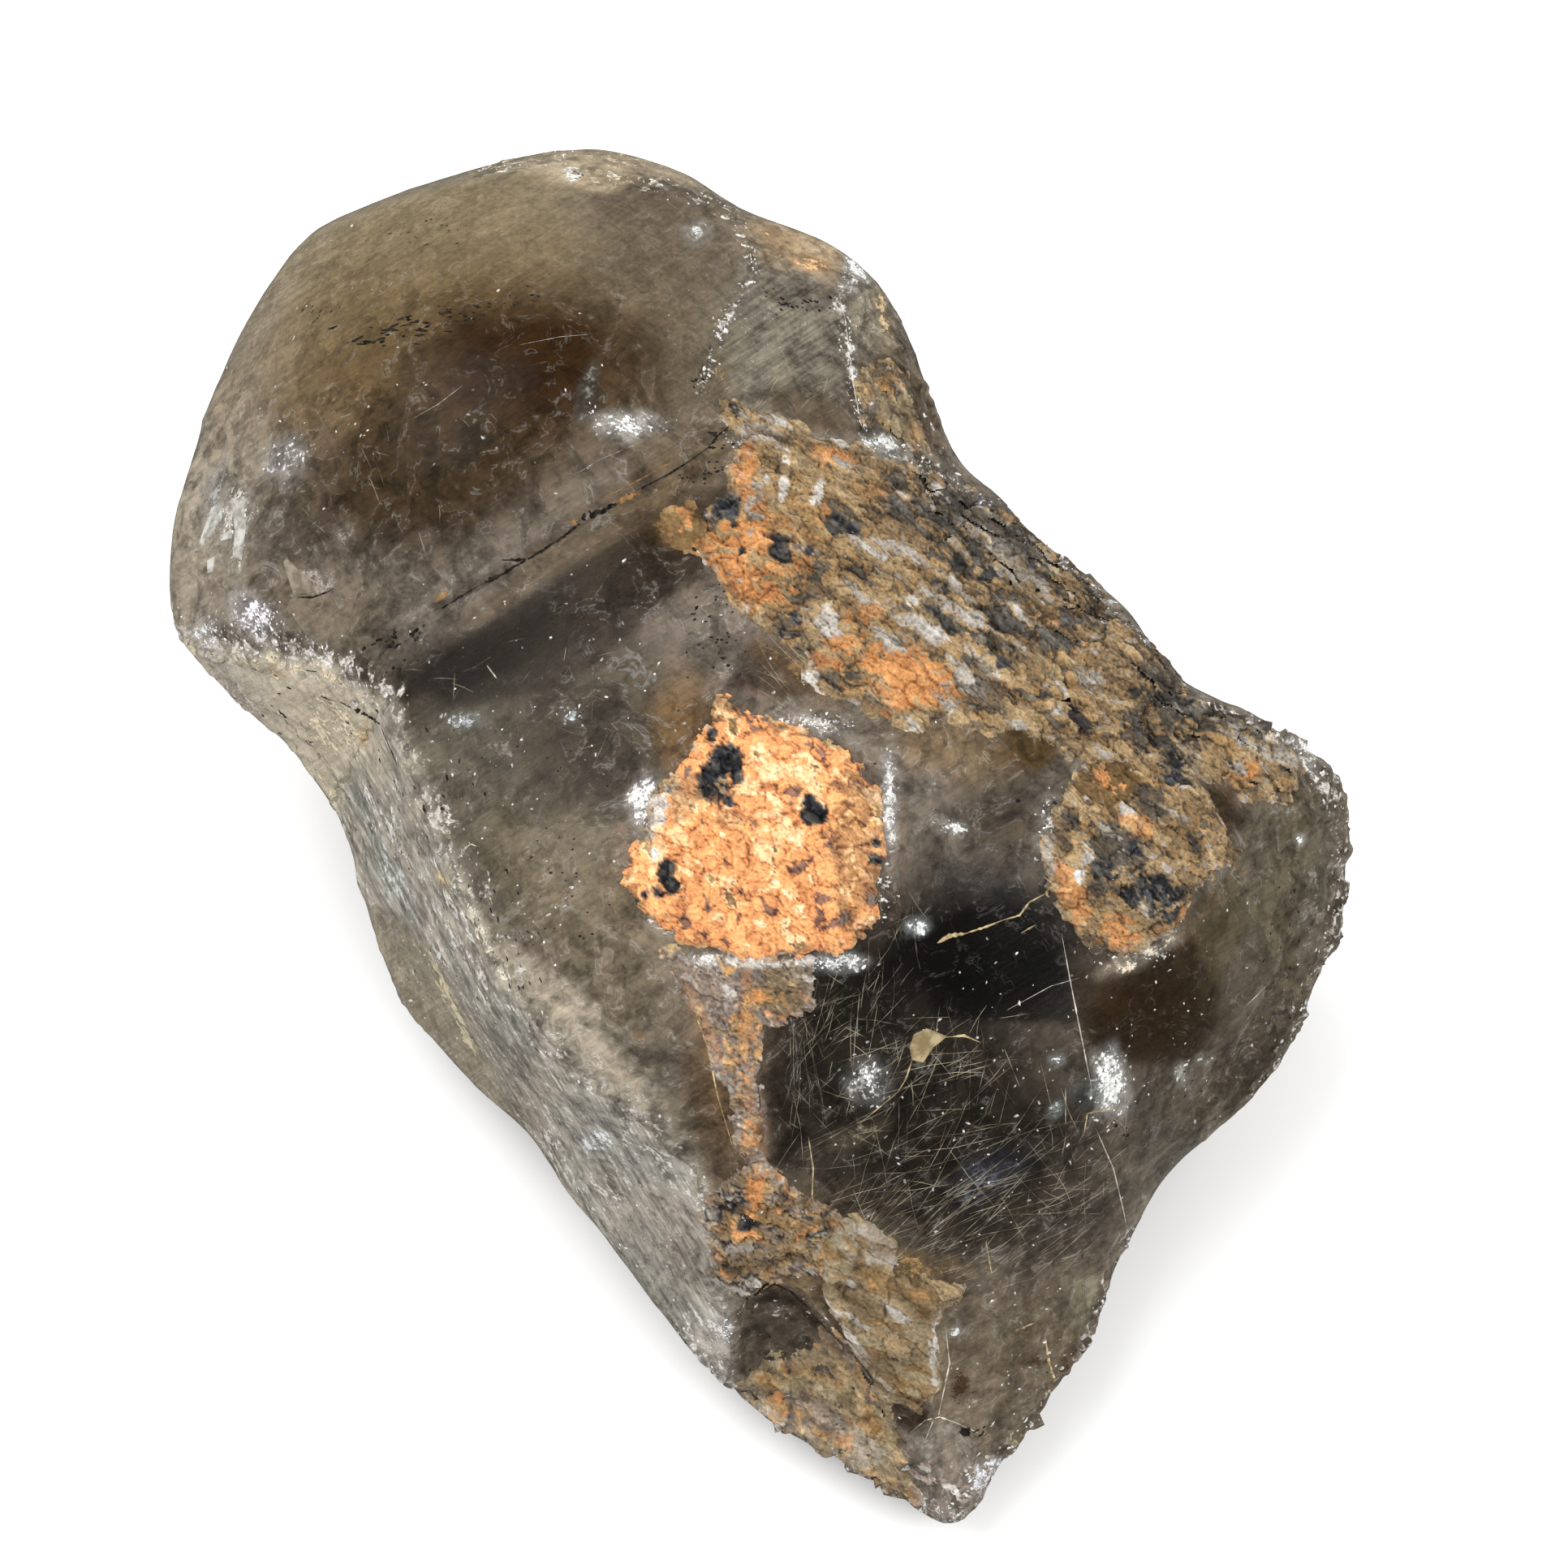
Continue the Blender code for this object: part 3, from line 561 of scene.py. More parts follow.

# Cloudy or crushed spots, and painted highlights and painted reflection haze where noted: centre,
# half sizes, turn, colour, how much of it shows.
SPOTS = {
    "head_fluff": ((352, 562), (30, 34), 20, (208, 208, 208), 0.62),
    "head_facet": ((288, 628), (26, 44), -12, (182, 176, 164), 0.66),
    "head_facet_low": ((292, 690), (14, 28), 0, (186, 178, 162), 0.6),
    "head_facet_left": ((262, 610), (16, 46), 18, (150, 150, 146), 0.5),
    # painted highlights: sparkles on the head's ledge
    "ledge_glint": ((312, 758), (40, 26), 25, (226, 222, 228), 0.6),
    "ledge_glint_left": ((256, 782), (18, 26), 0, (222, 220, 222), 0.5),
    "neck_cream": ((405, 895), (92, 46), 35, (216, 202, 172), 0.6),
    "neck_rust": ((450, 905), (10, 30), 0, (216, 184, 138), 0.6),
    "neck_rust_left": ((345, 828), (30, 7), 25, (210, 178, 138), 0.6),
    "neck_grey": ((270, 852), (80, 40), 30, (186, 174, 162), 0.8),
    "flank_cream": ((545, 1085), (12, 16), 0, (206, 184, 140), 0.7),
    "flank_cloud": ((490, 1090), (20, 60), -25, (196, 200, 196), 0.55),
    "amber_tab": ((832, 650), (34, 26), -20, (140, 112, 66), 0.6),
    "saddle_fan": ((985, 830), (90, 20), 38, (120, 92, 60), 0.6),
    "grey_plate": ((1237, 640), (60, 22), 34, (92, 90, 86), 0.7),
    "head_knot": ((424, 655), (22, 24), 0, (152, 140, 130), 0.62),
    "head_knot_right": ((525, 660), (14, 12), 0, (128, 116, 106), 0.5),
    "head_pane": ((390, 715), (34, 26), 15, (146, 136, 124), 0.62),
    # painted highlight on the head, with painted haze around it
    "head_flash": ((772, 523), (44, 20), -6, (236, 234, 226), 1.0),
    "head_flash_haze": ((744, 526), (40, 20), -10, (100, 92, 80), 0.3),
    "head_blade": ((722, 492), (12, 46), 14, (112, 112, 106), 0.55),
    # painted highlights on the back rim, then painted reflection haze along it
    "rim_glint": ((858, 285), (20, 18), 0, (206, 204, 198), 0.6),
    "back_glint": ((705, 215), (14, 12), 0, (226, 220, 210), 0.7),
    "back_sheen": ((765, 195), (90, 14), 4, (190, 172, 146), 0.5),
    "shoulder_white": ((1055, 330), (22, 30), 20, (226, 226, 224), 0.66),
    "shoulder_foot": ((1092, 548), (40, 14), 18, (206, 206, 202), 0.62),
    "shoulder_cream": ((1087, 386), (8, 36), -14, (204, 180, 140), 0.7),
    "shoulder_rust": ((1004, 326), (34, 12), 14, (214, 170, 124), 0.6),
    "shoulder_rust_left": ((955, 294), (34, 12), 20, (190, 156, 116), 0.5),
    "shoulder_honey": ((892, 455), (20, 26), 0, (138, 118, 88), 0.62),
    "middle_frost": ((573, 888), (30, 11), 6, (158, 162, 162), 0.66),
    "middle_frost_right": ((702, 882), (18, 12), 0, (140, 146, 146), 0.58),
    "middle_wisp": ((618, 925), (16, 34), -28, (118, 110, 102), 0.56),
    "middle_veil": ((640, 790), (60, 40), 0, (62, 52, 40), 0.2),
    "patch_fluff": ((792, 985), (24, 40), 10, (228, 224, 220), 0.78),
    "patch_foot_left": ((815, 1140), (26, 14), 30, (196, 184, 168), 0.6),
    "patch_foot": ((880, 1185), (38, 13), 0, (236, 232, 228), 0.8),
    "patch_foot_right": ((1030, 1186), (42, 14), -4, (226, 226, 224), 0.74),
    "patch_side": ((1096, 985), (14, 76), 0, (216, 213, 208), 0.85),
    "patch_crown": ((1024, 898), (66, 12), 27, (176, 170, 160), 0.7),
    "edge_bulge": ((735, 1310), (26, 18), 30, (176, 166, 150), 0.6),
    "flank_chip": ((735, 1406), (24, 20), 0, (222, 222, 220), 0.8),
    "flank_light": ((885, 1640), (24, 26), 0, (202, 196, 194), 0.62),
    # painted highlights on the dark glass, with painted haze around them
    "low_flash": ((1070, 1332), (30, 32), 0, (176, 176, 172), 0.74),
    "dark_flash": ((1368, 1332), (26, 46), -8, (226, 226, 220), 0.9),
    "dark_flash_haze": ((1340, 1345), (20, 22), 0, (120, 130, 128), 0.6),
    "dark_glint": ((1302, 1305), (14, 12), 0, (190, 198, 196), 0.66),
    "dark_glint_low": ((1300, 1368), (10, 12), 0, (170, 182, 180), 0.62),
    "dark_glint_up": ((1178, 1020), (24, 14), 10, (206, 206, 200), 0.66),
    "dark_glint_left": ((1130, 1142), (18, 11), 0, (222, 228, 226), 0.76),
    "dark_haze_up": ((1180, 1080), (70, 34), 10, (62, 62, 60), 0.5),
    "dark_blue": ((1225, 1450), (60, 30), -25, (70, 76, 94), 0.55),
    "tail_ring": ((1456, 1322), (14, 18), 20, (190, 188, 176), 0.6),
    "tail_ring_right": ((1482, 1305), (14, 9), 0, (176, 176, 164), 0.56),
    "tail_haze": ((1425, 1405), (60, 60), 0, (96, 90, 84), 0.45),
    "tail_rim": ((1480, 1440), (60, 20), -38, (168, 158, 146), 0.55),
    "end_haze": ((1620, 1100), (26, 90), 5, (128, 122, 112), 0.45),
    # painted highlight
    "end_glint": ((1602, 1035), (10, 12), 0, (216, 214, 206), 0.7),
    "end_crush": ((1585, 925), (50, 22), 32, (214, 212, 206), 0.62),
    "rust_foot": ((1400, 1178), (60, 14), -24, (214, 200, 178), 0.62),
    "rust_side": ((1290, 1010), (16, 44), 10, (196, 190, 178), 0.6),
    "toe_fleck": ((1178, 1640), (9, 9), 0, (206, 206, 202), 0.7),
    "toe_brown": ((1182, 1700), (14, 26), 10, (70, 48, 30), 0.6),
    "toe_brown_right": ((1272, 1678), (26, 9), 0, (74, 54, 36), 0.7),
    "toe_brown_far": ((1312, 1682), (10, 12), 0, (82, 58, 38), 0.6),
    "toe_cream": ((1262, 1785), (22, 30), 25, (150, 138, 110), 0.6),
    "toe_white": ((1218, 1822), (32, 26), -30, (212, 212, 216), 0.8),
    "toe_tip": ((1160, 1862), (44, 14), 22, (206, 200, 196), 0.6),
    "toe_amber": ((1120, 1560), (70, 26), 5, (150, 118, 72), 0.55),
    "low_orange": ((935, 1460), (14, 36), 0, (214, 160, 112), 0.85),
    "orange_drop": ((845, 1276), (8, 8), 0, (140, 104, 66), 0.35),
    "purple_foot": ((880, 1245), (34, 50), -12, (126, 110, 98), 0.55),
    "flank_low": ((800, 1560), (80, 70), 40, (116, 106, 94), 0.36),
    "patch_foot_mid": ((950, 1190), (54, 10), 0, (236, 216, 186), 0.74),
    "olive_smudge": ((1050, 1400), (44, 18), -20, (120, 110, 88), 0.5),
    "orange_dot": ((788, 1275), (9, 8), 0, (176, 126, 66), 0.4),
    "lobe_rim": ((560, 1245), (10, 96), -27, (200, 186, 154), 0.8),
    "ridge_light": ((600, 1165), (8, 80), -26, (214, 204, 184), 0.6),
}

# Where the quartz is smooth and even: centre, half sizes, turn, how calm it is.
CALM = [
    ((600, 830), (120, 60), -25, 0.7), ((390, 890), (110, 70), 35, 0.6),
    ((540, 1270), (60, 150), -28, 0.5), ((330, 330), (160, 170), 0, 0.5),
    ((620, 1000), (120, 200), -30, 0.3), ((640, 280), (260, 100), 0, 0.6),
    ((860, 390), (70, 130), 10, 0.55), ((600, 420), (220, 80), 0, 0.3), ((1200, 1200), (160, 80), 0, 0.6),
    ((1420, 1250), (100, 70), -5, 0.5), ((1500, 1160), (60, 60), 0, 0.5),
    ((1230, 1680), (120, 90), -30, 0.3), ((720, 700), (150, 20), -34, 0.5),
    ((960, 820), (70, 30), 40, 0.5),
]


def tones(skin):
    """The body colour of each point of the skin, with painted reflection haze among its tones."""
    wander = np.stack([noise_at(skin.points, 7.0, 11.0), noise_at(skin.points, 7.0, 23.0)], axis=1)
    run = run_space(skin.pixels, NEEDLE_RUN, 60, 14)
    pixels = skin.pixels + 20 * wander + 16 * np.outer(noise_at(run, 1.0, 5.0), NEEDLE_RUN)
    colours = np.tile(BODY_TONE, (len(pixels), 1))
    for centre, halves, turn, colour, strength in TONES.values():
        share = strength * ramp(1.25, 0.35, oval_reach(pixels, centre, halves, turn))
        colours = blend(colours, linear(*colour), share)
    bent = skin.pixels + 4 * wander
    for corners, colour, strength, soft in FACETS.values():
        share = ramp(-soft, soft, outline_depth(bent, corners)) * strength
        colours = blend(colours, linear(*colour), share)
    for name, (colour, strength) in ZONE_TONES.items():
        colours = blend(colours, linear(*colour), skin.zone[name] * strength)
    colours = blend(colours, RIDGE_TONE, 0.6 * skin.near("flank_edge", 24))
    colours = blend(colours, THIN_TONE, 0.4 * ramp(0.5, 0.1, skin.facing))
    veils = fractal_at(skin.points, 16.0, 3, 61.0)
    hidden = blend(HIDDEN_TONE, HIDDEN_PALE, ramp(-0.5, 0.7, veils))
    return blend(hidden, colours, skin.seen)


def flank_streaks(skin):
    """Light and dark streaks along the flank's ribs."""
    pixels = skin.pixels + 6 * skin.ragged[:, None]
    streak = noise_at(run_space(pixels, FLANK_RUN, 70, 9), 1.0, 3.0)
    return streak + 0.8 * noise_at(run_space(pixels, FLANK_RUN, 150, 26), 1.0, 12.0)


def paint_skin(skin):
    """Gives the skin what its material reads: a body, and what covers it in broken patches."""
    zone, points, pixels = skin.zone, skin.points, skin.pixels
    body = tones(skin)
    patchy = noise_at(points, 4.5, 31.0) + 0.7 * noise_at(points, 1.8, 17.0)
    cloud = noise_at(points, 5.0, 41.0) + 0.6 * fractal_at(points, 2.2, 3, 6.0)
    body = body * (1 + 0.14 * cloud[:, None])
    chip = HIDDEN_CHIPPED * (1 - skin.seen)
    for name, (*_, chipped) in ZONES.items():
        chip = np.maximum(chip, chipped * zone[name])

    over = np.tile(WHITE, (len(points), 1))
    cover = np.zeros(len(points))

    def lay(colour, where, amount):
        """Lays a broken cover of one colour over a part of the skin."""
        nonlocal over, cover
        over = blend(over, linear(*colour), where)
        cover = np.maximum(cover, where * amount)

    streak = flank_streaks(skin)
    flank = zone["flank"] * (1 - 0.85 * zone["lobe"])
    tint = noise_at(points, 6.0, 51.0)
    body = blend(body, body * (1 + 0.12 * np.outer(tint, (1.0, 0.2, -0.2))), flank)
    body = blend(body, body * 0.6, flank * ramp(0.2, 0.9, -streak))
    frost = zone["shoulder"] * ramp(*FROST_ROWS, pixels[:, 1])
    milk = skin.near("flank_edge", 60) * (1 - flank)
    lay((206, 202, 194), flank, 0.26 + 0.3 * ramp(0.0, 0.8, streak) + 0.2 * patchy)
    lay((222, 206, 172), zone["neck"], 0.44 + 0.16 * patchy)
    lay((150, 147, 138), frost, 0.20 + 0.14 * patchy)
    lay((176, 168, 154), milk, 0.42 + 0.3 * patchy)
    lay((176, 168, 156), 1 - skin.seen, 0.14 + 0.3 * patchy)
    for name, (reach, amount, _, colour) in RIMS.items():
        near = ramp(reach, 0, line_distance(pixels, LINES[name]) + 9 * skin.ragged) * skin.seen
        chip = np.maximum(chip, ramp(0.0, 0.4, near))
        near = near * amount * (1 + 0.8 * patchy)
        over = blend(over, linear(*colour), ramp(0.05, 0.3, near - cover * 0.5))
        cover = np.maximum(cover, near)
    # spots: clouds and crushed white, and painted highlights and painted reflection haze
    for centre, halves, turn, colour, amount in SPOTS.values():
        reach = oval_reach(pixels, centre, halves, turn) + 0.35 * skin.ragged
        share = ramp(1.3, 0.3, reach) * skin.seen
        colour = linear(*colour)
        body = blend(body, colour, share * amount * 0.45)
        over = blend(over, colour, ramp(0.0, 0.3, share))
        cleared = cover * (1 - ramp(0.0, 0.35, share))
        cover = np.maximum(cleared, share * amount * (0.8 + 0.3 * patchy))
        chip = np.maximum(chip, 0.5 * share * amount)

    body = body * BODY_SHARE
    clear = np.clip(0.82 - body.max(axis=1) / 0.5, 0.25, 0.8)
    tell_colour(skin.mesh, "body", np.clip(body / (1 - clear[:, None]), 0, 0.9))
    tell_colour(skin.mesh, "over", over)
    tell(skin.mesh, "clear", clear)
    tell(skin.mesh, "cover", cover)
    tell(skin.mesh, "chip", chip)
    calm = np.zeros(len(points))
    for centre, halves, turn, amount in CALM:
        calm = np.maximum(calm, amount * ramp(1.2, 0.7, oval_reach(pixels, centre, halves, turn)))
    tell(skin.mesh, "stir", 1 - calm * skin.seen)
    fibre = np.maximum(0.55 * flank, 0.6 * frost)
    lines = np.where((flank > 0.5)[:, None], run_space(pixels, FLANK_RUN, 50, 4.0),
                     run_space(pixels, NEEDLE_RUN, 60, 4.5))
    tell_vector(skin.mesh, "strand", lines)
    tell(skin.mesh, "fibre", 0.24 * skin.seen + 0.76 * fibre)


# ---------------------------------------------------------------- node arithmetic

class Field:
    """A node socket that reads like a value: sums and products add nodes to its tree."""

    def __init__(self, tree, socket):
        self.tree = tree
        self.socket = socket

    def math(self, kind, *others):
        return add_node(self.tree, "Math", 0, dict(enumerate((self, *others))), operation=kind)

    def __add__(self, other):
        return self.math("ADD", other)

    def __sub__(self, other):
        return self.math("SUBTRACT", other)

    def __mul__(self, other):
        return self.math("MULTIPLY", other)

    def ramp(self, low, high, start=0.0, end=1.0):
        return add_node(self.tree, "MapRange", "Result",
                        {"Value": self, "From Min": low, "From Max": high, "To Min": start,
                         "To Max": end}, interpolation_type="SMOOTHSTEP")

    def back(self):
        """One less the value."""
        return self * -1.0 + 1.0


def feed(tree, place, value):
    if isinstance(value, Field):
        tree.links.new(value.socket, place)
    else:
        place.default_value = value


def add_node(tree, kind, output, values=None, **settings):
    """Adds a node to a tree, feeds its inputs and gives back one of its outputs."""
    node = tree.nodes.new("ShaderNode" + kind)
    for name, setting in settings.items():
        setattr(node, name, setting)
    for place, value in (values or {}).items():
        feed(tree, node.inputs[place], value)
    return Field(tree, node.outputs[output])


class Painter:
    """Makes the textures of one material, in millimetres."""

    def __init__(self, name):
        self.material = bpy.data.materials.new(name)
        self.material.use_nodes = True
        self.tree = self.material.node_tree
        self.surface = self.tree.nodes["Principled BSDF"]
        self.place = self.add("TexCoord", "Object")

    def add(self, kind, output, values=None, **settings):
        return add_node(self.tree, kind, output, values, **settings)

    def told(self, name, kind="Fac"):
        return self.add("Attribute", kind, attribute_name=name)

    def brighten(self, colour, amount):
        """A colour, or a place, times a value."""
        return self.add("VectorMath", 0, {0: colour, "Scale": amount}, operation="SCALE")

    def space(self, size):
        """Object space, stretched so that one unit is a size in millimetres."""
        return self.brighten(self.place, 1 / (size * MM))

    def noise(self, place, detail=3.0, rough=0.55, warp=0.0):
        return self.add("TexNoise", "Fac", {"Vector": place, "Scale": 1.0, "Detail": detail,
                                            "Roughness": rough, "Distortion": warp})

    def cells(self, size, kind="Distance"):
        return self.add("TexVoronoi", kind, {"Vector": self.space(size), "Scale": 1.0})

    def mix(self, share, first, second):
        first, second = (value if isinstance(value, Field) else (*value, 1)
                         for value in (first, second))
        return self.add("Mix", 2, {"Factor": share, 6: first, 7: second}, data_type="RGBA")

    def bump(self, height, depth):
        """A normal from a height, where 1 stands for a depth in millimetres."""
        return self.add("Bump", "Normal", {"Distance": depth * MM, "Height": height})

    def set(self, **values):
        for name, value in values.items():
            place = self.surface.inputs[name.replace("_", " ").title().replace("Ior", "IOR")]
            if not isinstance(value, Field) and place.type == "RGBA":
                value = (*value, 1)
            feed(self.tree, place, value)

    def absorb(self, colour, density):
        volume = self.add("VolumeAbsorption", 0, {"Color": (*colour, 1), "Density": density})
        feed(self.tree, self.tree.nodes["Material Output"].inputs["Volume"], volume)


# ---------------------------------------------------------------- materials

QUARTZ_IOR = 1.544
SMOKE = (0.50, 0.38, 0.27)
SMOKE_PER_METRE = 140


def quartz_material():
    """Smoky quartz: clear and dark where it is sound, milky or crushed where it is cracked."""
    paint = Painter("smoky_quartz_skin")
    mottle = paint.noise(paint.space(1.6), detail=4, rough=0.65, warp=0.5)
    fine = paint.noise(paint.space(0.40), detail=2, rough=0.6)
    veil = paint.noise(paint.space(4.5), detail=4, rough=0.6, warp=1.4)
    strand = paint.noise(paint.told("strand", "Vector"), detail=3, rough=0.6)
    fibre = paint.told("fibre")
    dust = paint.cells(3.6).ramp(0.034, 0.02)
    wisp = (veil - 0.5).math("ABSOLUTE").ramp(0.020, 0.0) * mottle.ramp(0.42, 0.6)

    stir, chip = paint.told("stir"), paint.told("chip")
    shard = (paint.cells(0.75, "Color") - 0.5) * chip

    grain = (mottle - 0.5) * 1.6 + (fine - 0.5) * 0.8 + (strand - 0.5) * fibre * 1.1 + shard * 0.8
    patches = (paint.told("cover") + grain).ramp(0.37, 0.66)
    shade = (mottle.ramp(0.36, 0.64, -0.26, 0.30) + veil.ramp(0.35, 0.65, -0.28, 0.30)) * stir
    shade = shade + fine.ramp(0.3, 0.7, 0.86, 1.14)
    shade = shade * (strand.ramp(0.3, 0.7, -0.5, 0.5) * fibre + 1.0) * (shard + 1.0)
    body = paint.brighten(paint.told("body", "Vector"), shade)
    over = paint.brighten(paint.told("over", "Vector"), fine.ramp(0.3, 0.7, 0.62, 1.12))
    colour = paint.mix(patches, body, over)
    colour = paint.mix(wisp * stir * 0.4, colour, paint.told("over", "Vector"))
    colour = paint.mix(dust * 0.7, colour, WHITE)
    height = fine * (patches * 0.7 + 0.04) + mottle * 0.10 + strand * fibre * 0.35 + shard * 0.8
    paint.set(base_color=colour, ior=QUARTZ_IOR, specular_ior_level=0.35,
              transmission_weight=paint.told("clear") * patches.back(),
              roughness=patches * 0.4 + fibre * 0.08 + 0.09, normal=paint.bump(height, 0.4))
    paint.absorb(SMOKE, SMOKE_PER_METRE)
    return paint.material


def crust_material():
    """Granular rock: the colour of each grain is told by the mesh, its finest grain made here."""
    paint = Painter("iron_crust")
    speck = paint.noise(paint.space(0.3), detail=3, rough=0.65)
    colour = paint.brighten(paint.told("grain", "Vector"), speck.ramp(0.3, 0.7, 0.7, 1.25))
    paint.set(base_color=colour, roughness=paint.told("dull"), normal=paint.bump(speck, 0.12))
    return paint.material


# Small bits: dark and light colour, size of the grain (mm), roughness, how clear.
BIT_STUFF = {
    "needle": ((84, 76, 60), (168, 158, 136), 1.6, 0.35, 0.0),
    "pale_thread": ((150, 144, 130), (214, 208, 196), 0.8, 0.3, 0.0),
    "cream_thread": ((126, 108, 76), (196, 174, 130), 0.7, 0.45, 0.0),
    "honey_thread": ((92, 70, 42), (150, 112, 66), 0.9, 0.4, 0.0),
    "pale_pane": ((146, 143, 134), (206, 203, 195), 1.1, 0.2, 0.2),
    "beige_pane": ((112, 102, 88), (150, 140, 122), 1.1, 0.2, 0.2),
    "cream_pane": ((138, 120, 86), (186, 168, 130), 1.1, 0.2, 0.2),
    "slate_pane": ((40, 40, 41), (84, 83, 82), 1.1, 0.2, 0.2),
    # dark mineral, also used for the painted shadow lines under the hollow's ledge
    "dark_mineral_and_shadow": ((15, 13, 12), (44, 38, 33), 0.5, 0.5, 0.0),
    # crushed white quartz; its flakes are partly painted sparkles
    "crushed_quartz_and_sparkle": ((128, 124, 118), (250, 249, 247), 0.7, 0.2, 0.25),
    # white flakes for bright breaks, partly painted highlights
    "bright_break_and_glint": ((196, 198, 198), (255, 255, 255), 0.9, 0.15, 0.0),
}


def bit_material(name):
    """Small bits of one stuff, between two colours."""
    dark, light, size, roughness, clear = BIT_STUFF[name]
    paint = Painter(name)
    grain = paint.noise(paint.space(size), detail=3, rough=0.6)
    colour = paint.mix(grain.ramp(0.35, 0.65), linear(*dark), linear(*light))
    paint.set(base_color=colour, roughness=roughness, transmission_weight=clear, ior=QUARTZ_IOR,
              normal=paint.bump(grain, 0.1))
    return paint.material


# ---------------------------------------------------------------- crusts

CRUST_PITCH = 2.3           # pixels between the points of a crust
CRUST_SINK = 0.5            # a crust's border dips this far below the skin (mm)
CRUST_MARGIN = 34           # and its sheet goes on this far past its outline (pixels)
CRUST_FACING = 0.14         # it ends where the skin faces the camera less than this
LONGEST_FACE = 7            # a face longer than this many pitches is left out

# What a crust is made of: its colours from the hollows between the grains, where the painted
# shade of the gaps falls, to their tips.
STUFF = {
    "peach": [(112, 68, 42), (186, 120, 72), (226, 154, 96), (240, 174, 112), (250, 206, 152)],
    "cream": [(146, 102, 70), (210, 156, 110), (240, 194, 142), (250, 216, 172), (255, 238, 212)],
    "amber": [(34, 26, 17), (82, 62, 38), (126, 97, 60), (163, 130, 86), (206, 175, 130)],
    "tan": [(48, 39, 30), (102, 84, 60), (142, 118, 84), (174, 150, 112), (214, 194, 158)],
    "grit": [(18, 16, 15), (40, 36, 32), (68, 61, 51), (106, 94, 76), (158, 143, 118)],
    "slate": [(24, 23, 22), (48, 46, 43), (74, 71, 66), (104, 100, 94), (152, 148, 141)],
    "frost": [(84, 76, 66), (124, 115, 103), (162, 154, 144), (198, 192, 184), (238, 236, 232)],
    "mauve": [(44, 36, 32), (86, 73, 65), (120, 105, 94), (154, 139, 127), (206, 194, 184)],
    "soot": [(8, 8, 10), (21, 22, 26), (42, 43, 48), (80, 82, 84), (138, 140, 132)],
    "plum": [(60, 38, 32), (108, 74, 60), (144, 104, 84), (176, 136, 112), (214, 180, 156)],
    "horn": [(58, 46, 30), (96, 80, 56), (124, 108, 80), (154, 138, 108), (206, 194, 166)],
    "ice": [(118, 110, 100), (166, 159, 150), (200, 195, 187), (226, 223, 218), (252, 252, 250)],
    "resin": [(40, 28, 14), (78, 57, 30), (106, 82, 48), (134, 108, 70), (184, 160, 120)],
    "rust": [(86, 52, 27), (146, 95, 53), (184, 126, 73), (212, 154, 97), (242, 198, 145)],
}
# Mixed ground: the stuffs that its chips are of and the share of each.
MIXES = {
    "peachy": [("plum", 0.07), ("peach", 0.78), ("cream", 0.11), ("amber", 0.04)],
    "creamy": [("plum", 0.03), ("peach", 0.41), ("cream", 0.53), ("ice", 0.03)],
    "ochre": [("frost", 0.05), ("grit", 0.12), ("tan", 0.30), ("amber", 0.43), ("rust", 0.10)],
    "tawny": [("frost", 0.11), ("tan", 0.54), ("amber", 0.24), ("grit", 0.11)],
    "rusty": [("frost", 0.04), ("rust", 0.8), ("tan", 0.1), ("amber", 0.06)],
    "gritty": [("frost", 0.06), ("tan", 0.2), ("amber", 0.12), ("grit", 0.44), ("slate", 0.18)],
    "slaty": [("frost", 0.1), ("slate", 0.5), ("grit", 0.4)],
    "frosty": [("frost", 0.7), ("tan", 0.2), ("slate", 0.1)],
    "icy": [("ice", 0.84), ("tan", 0.16)],
    "sooty": [("tan", 0.06), ("slate", 0.34), ("soot", 0.60)],
    "mauvy": [("frost", 0.08), ("mauve", 0.66), ("tan", 0.16), ("rust", 0.10)],
    "earthy": [("frost", 0.05), ("grit", 0.17), ("mauve", 0.16), ("tan", 0.24), ("amber", 0.33),
               ("rust", 0.05)],
    "crushed": [("ice", 0.12), ("frost", 0.32), ("mauve", 0.56)],
    "amber_glass": [("resin", 0.92), ("rust", 0.08)],
    "sandy": [("horn", 0.5), ("tan", 0.36), ("amber", 0.14)],
    "shelly": [("frost", 0.07), ("tan", 0.15), ("horn", 0.52), ("resin", 0.26)],
}

# Each crust: main ground, the ground of its border, how far it stands up, its grain, its
# roughness (all mm), how long its chips are for their width and how dark the painted shade in
# the gaps between them is.
CRUSTS = {
    "main": ("peachy", "tawny", 0.30, 1.1, 0.24, 1.3, 0.36),
    "saddle": ("tawny", "gritty", 0.28, 1.0, 0.38, 2.2, 0.34),
    "right": ("tawny", "gritty", 0.25, 0.95, 0.38, 1.8, 0.34),
    "low": ("earthy", "mauvy", 0.22, 1.0, 0.40, 1.5, 0.36),
    "cavity": ("sandy", "mauvy", 0.12, 1.4, 0.30, 1.3, 0.14),
    "shell": ("shelly", "shelly", 0.42, 1.5, 0.20, 2.8, 0.30),
    "streak": ("mauvy", "mauvy", 0.12, 0.7, 0.20, 1.5, 0.26),
    "rill": ("mauvy", "sandy", 0.10, 0.7, 0.18, 1.8, 0.22),
    "crag": ("sandy", "tawny", 0.08, 1.5, 0.30, 1.3, 0.30),
    "tip": ("crushed", "crushed", 0.0, 0.9, 0.24, 1.4, 0.22),
    "tab": ("amber_glass", "amber_glass", 0.12, 1.8, 0.08, 1.4, 0.14),
}

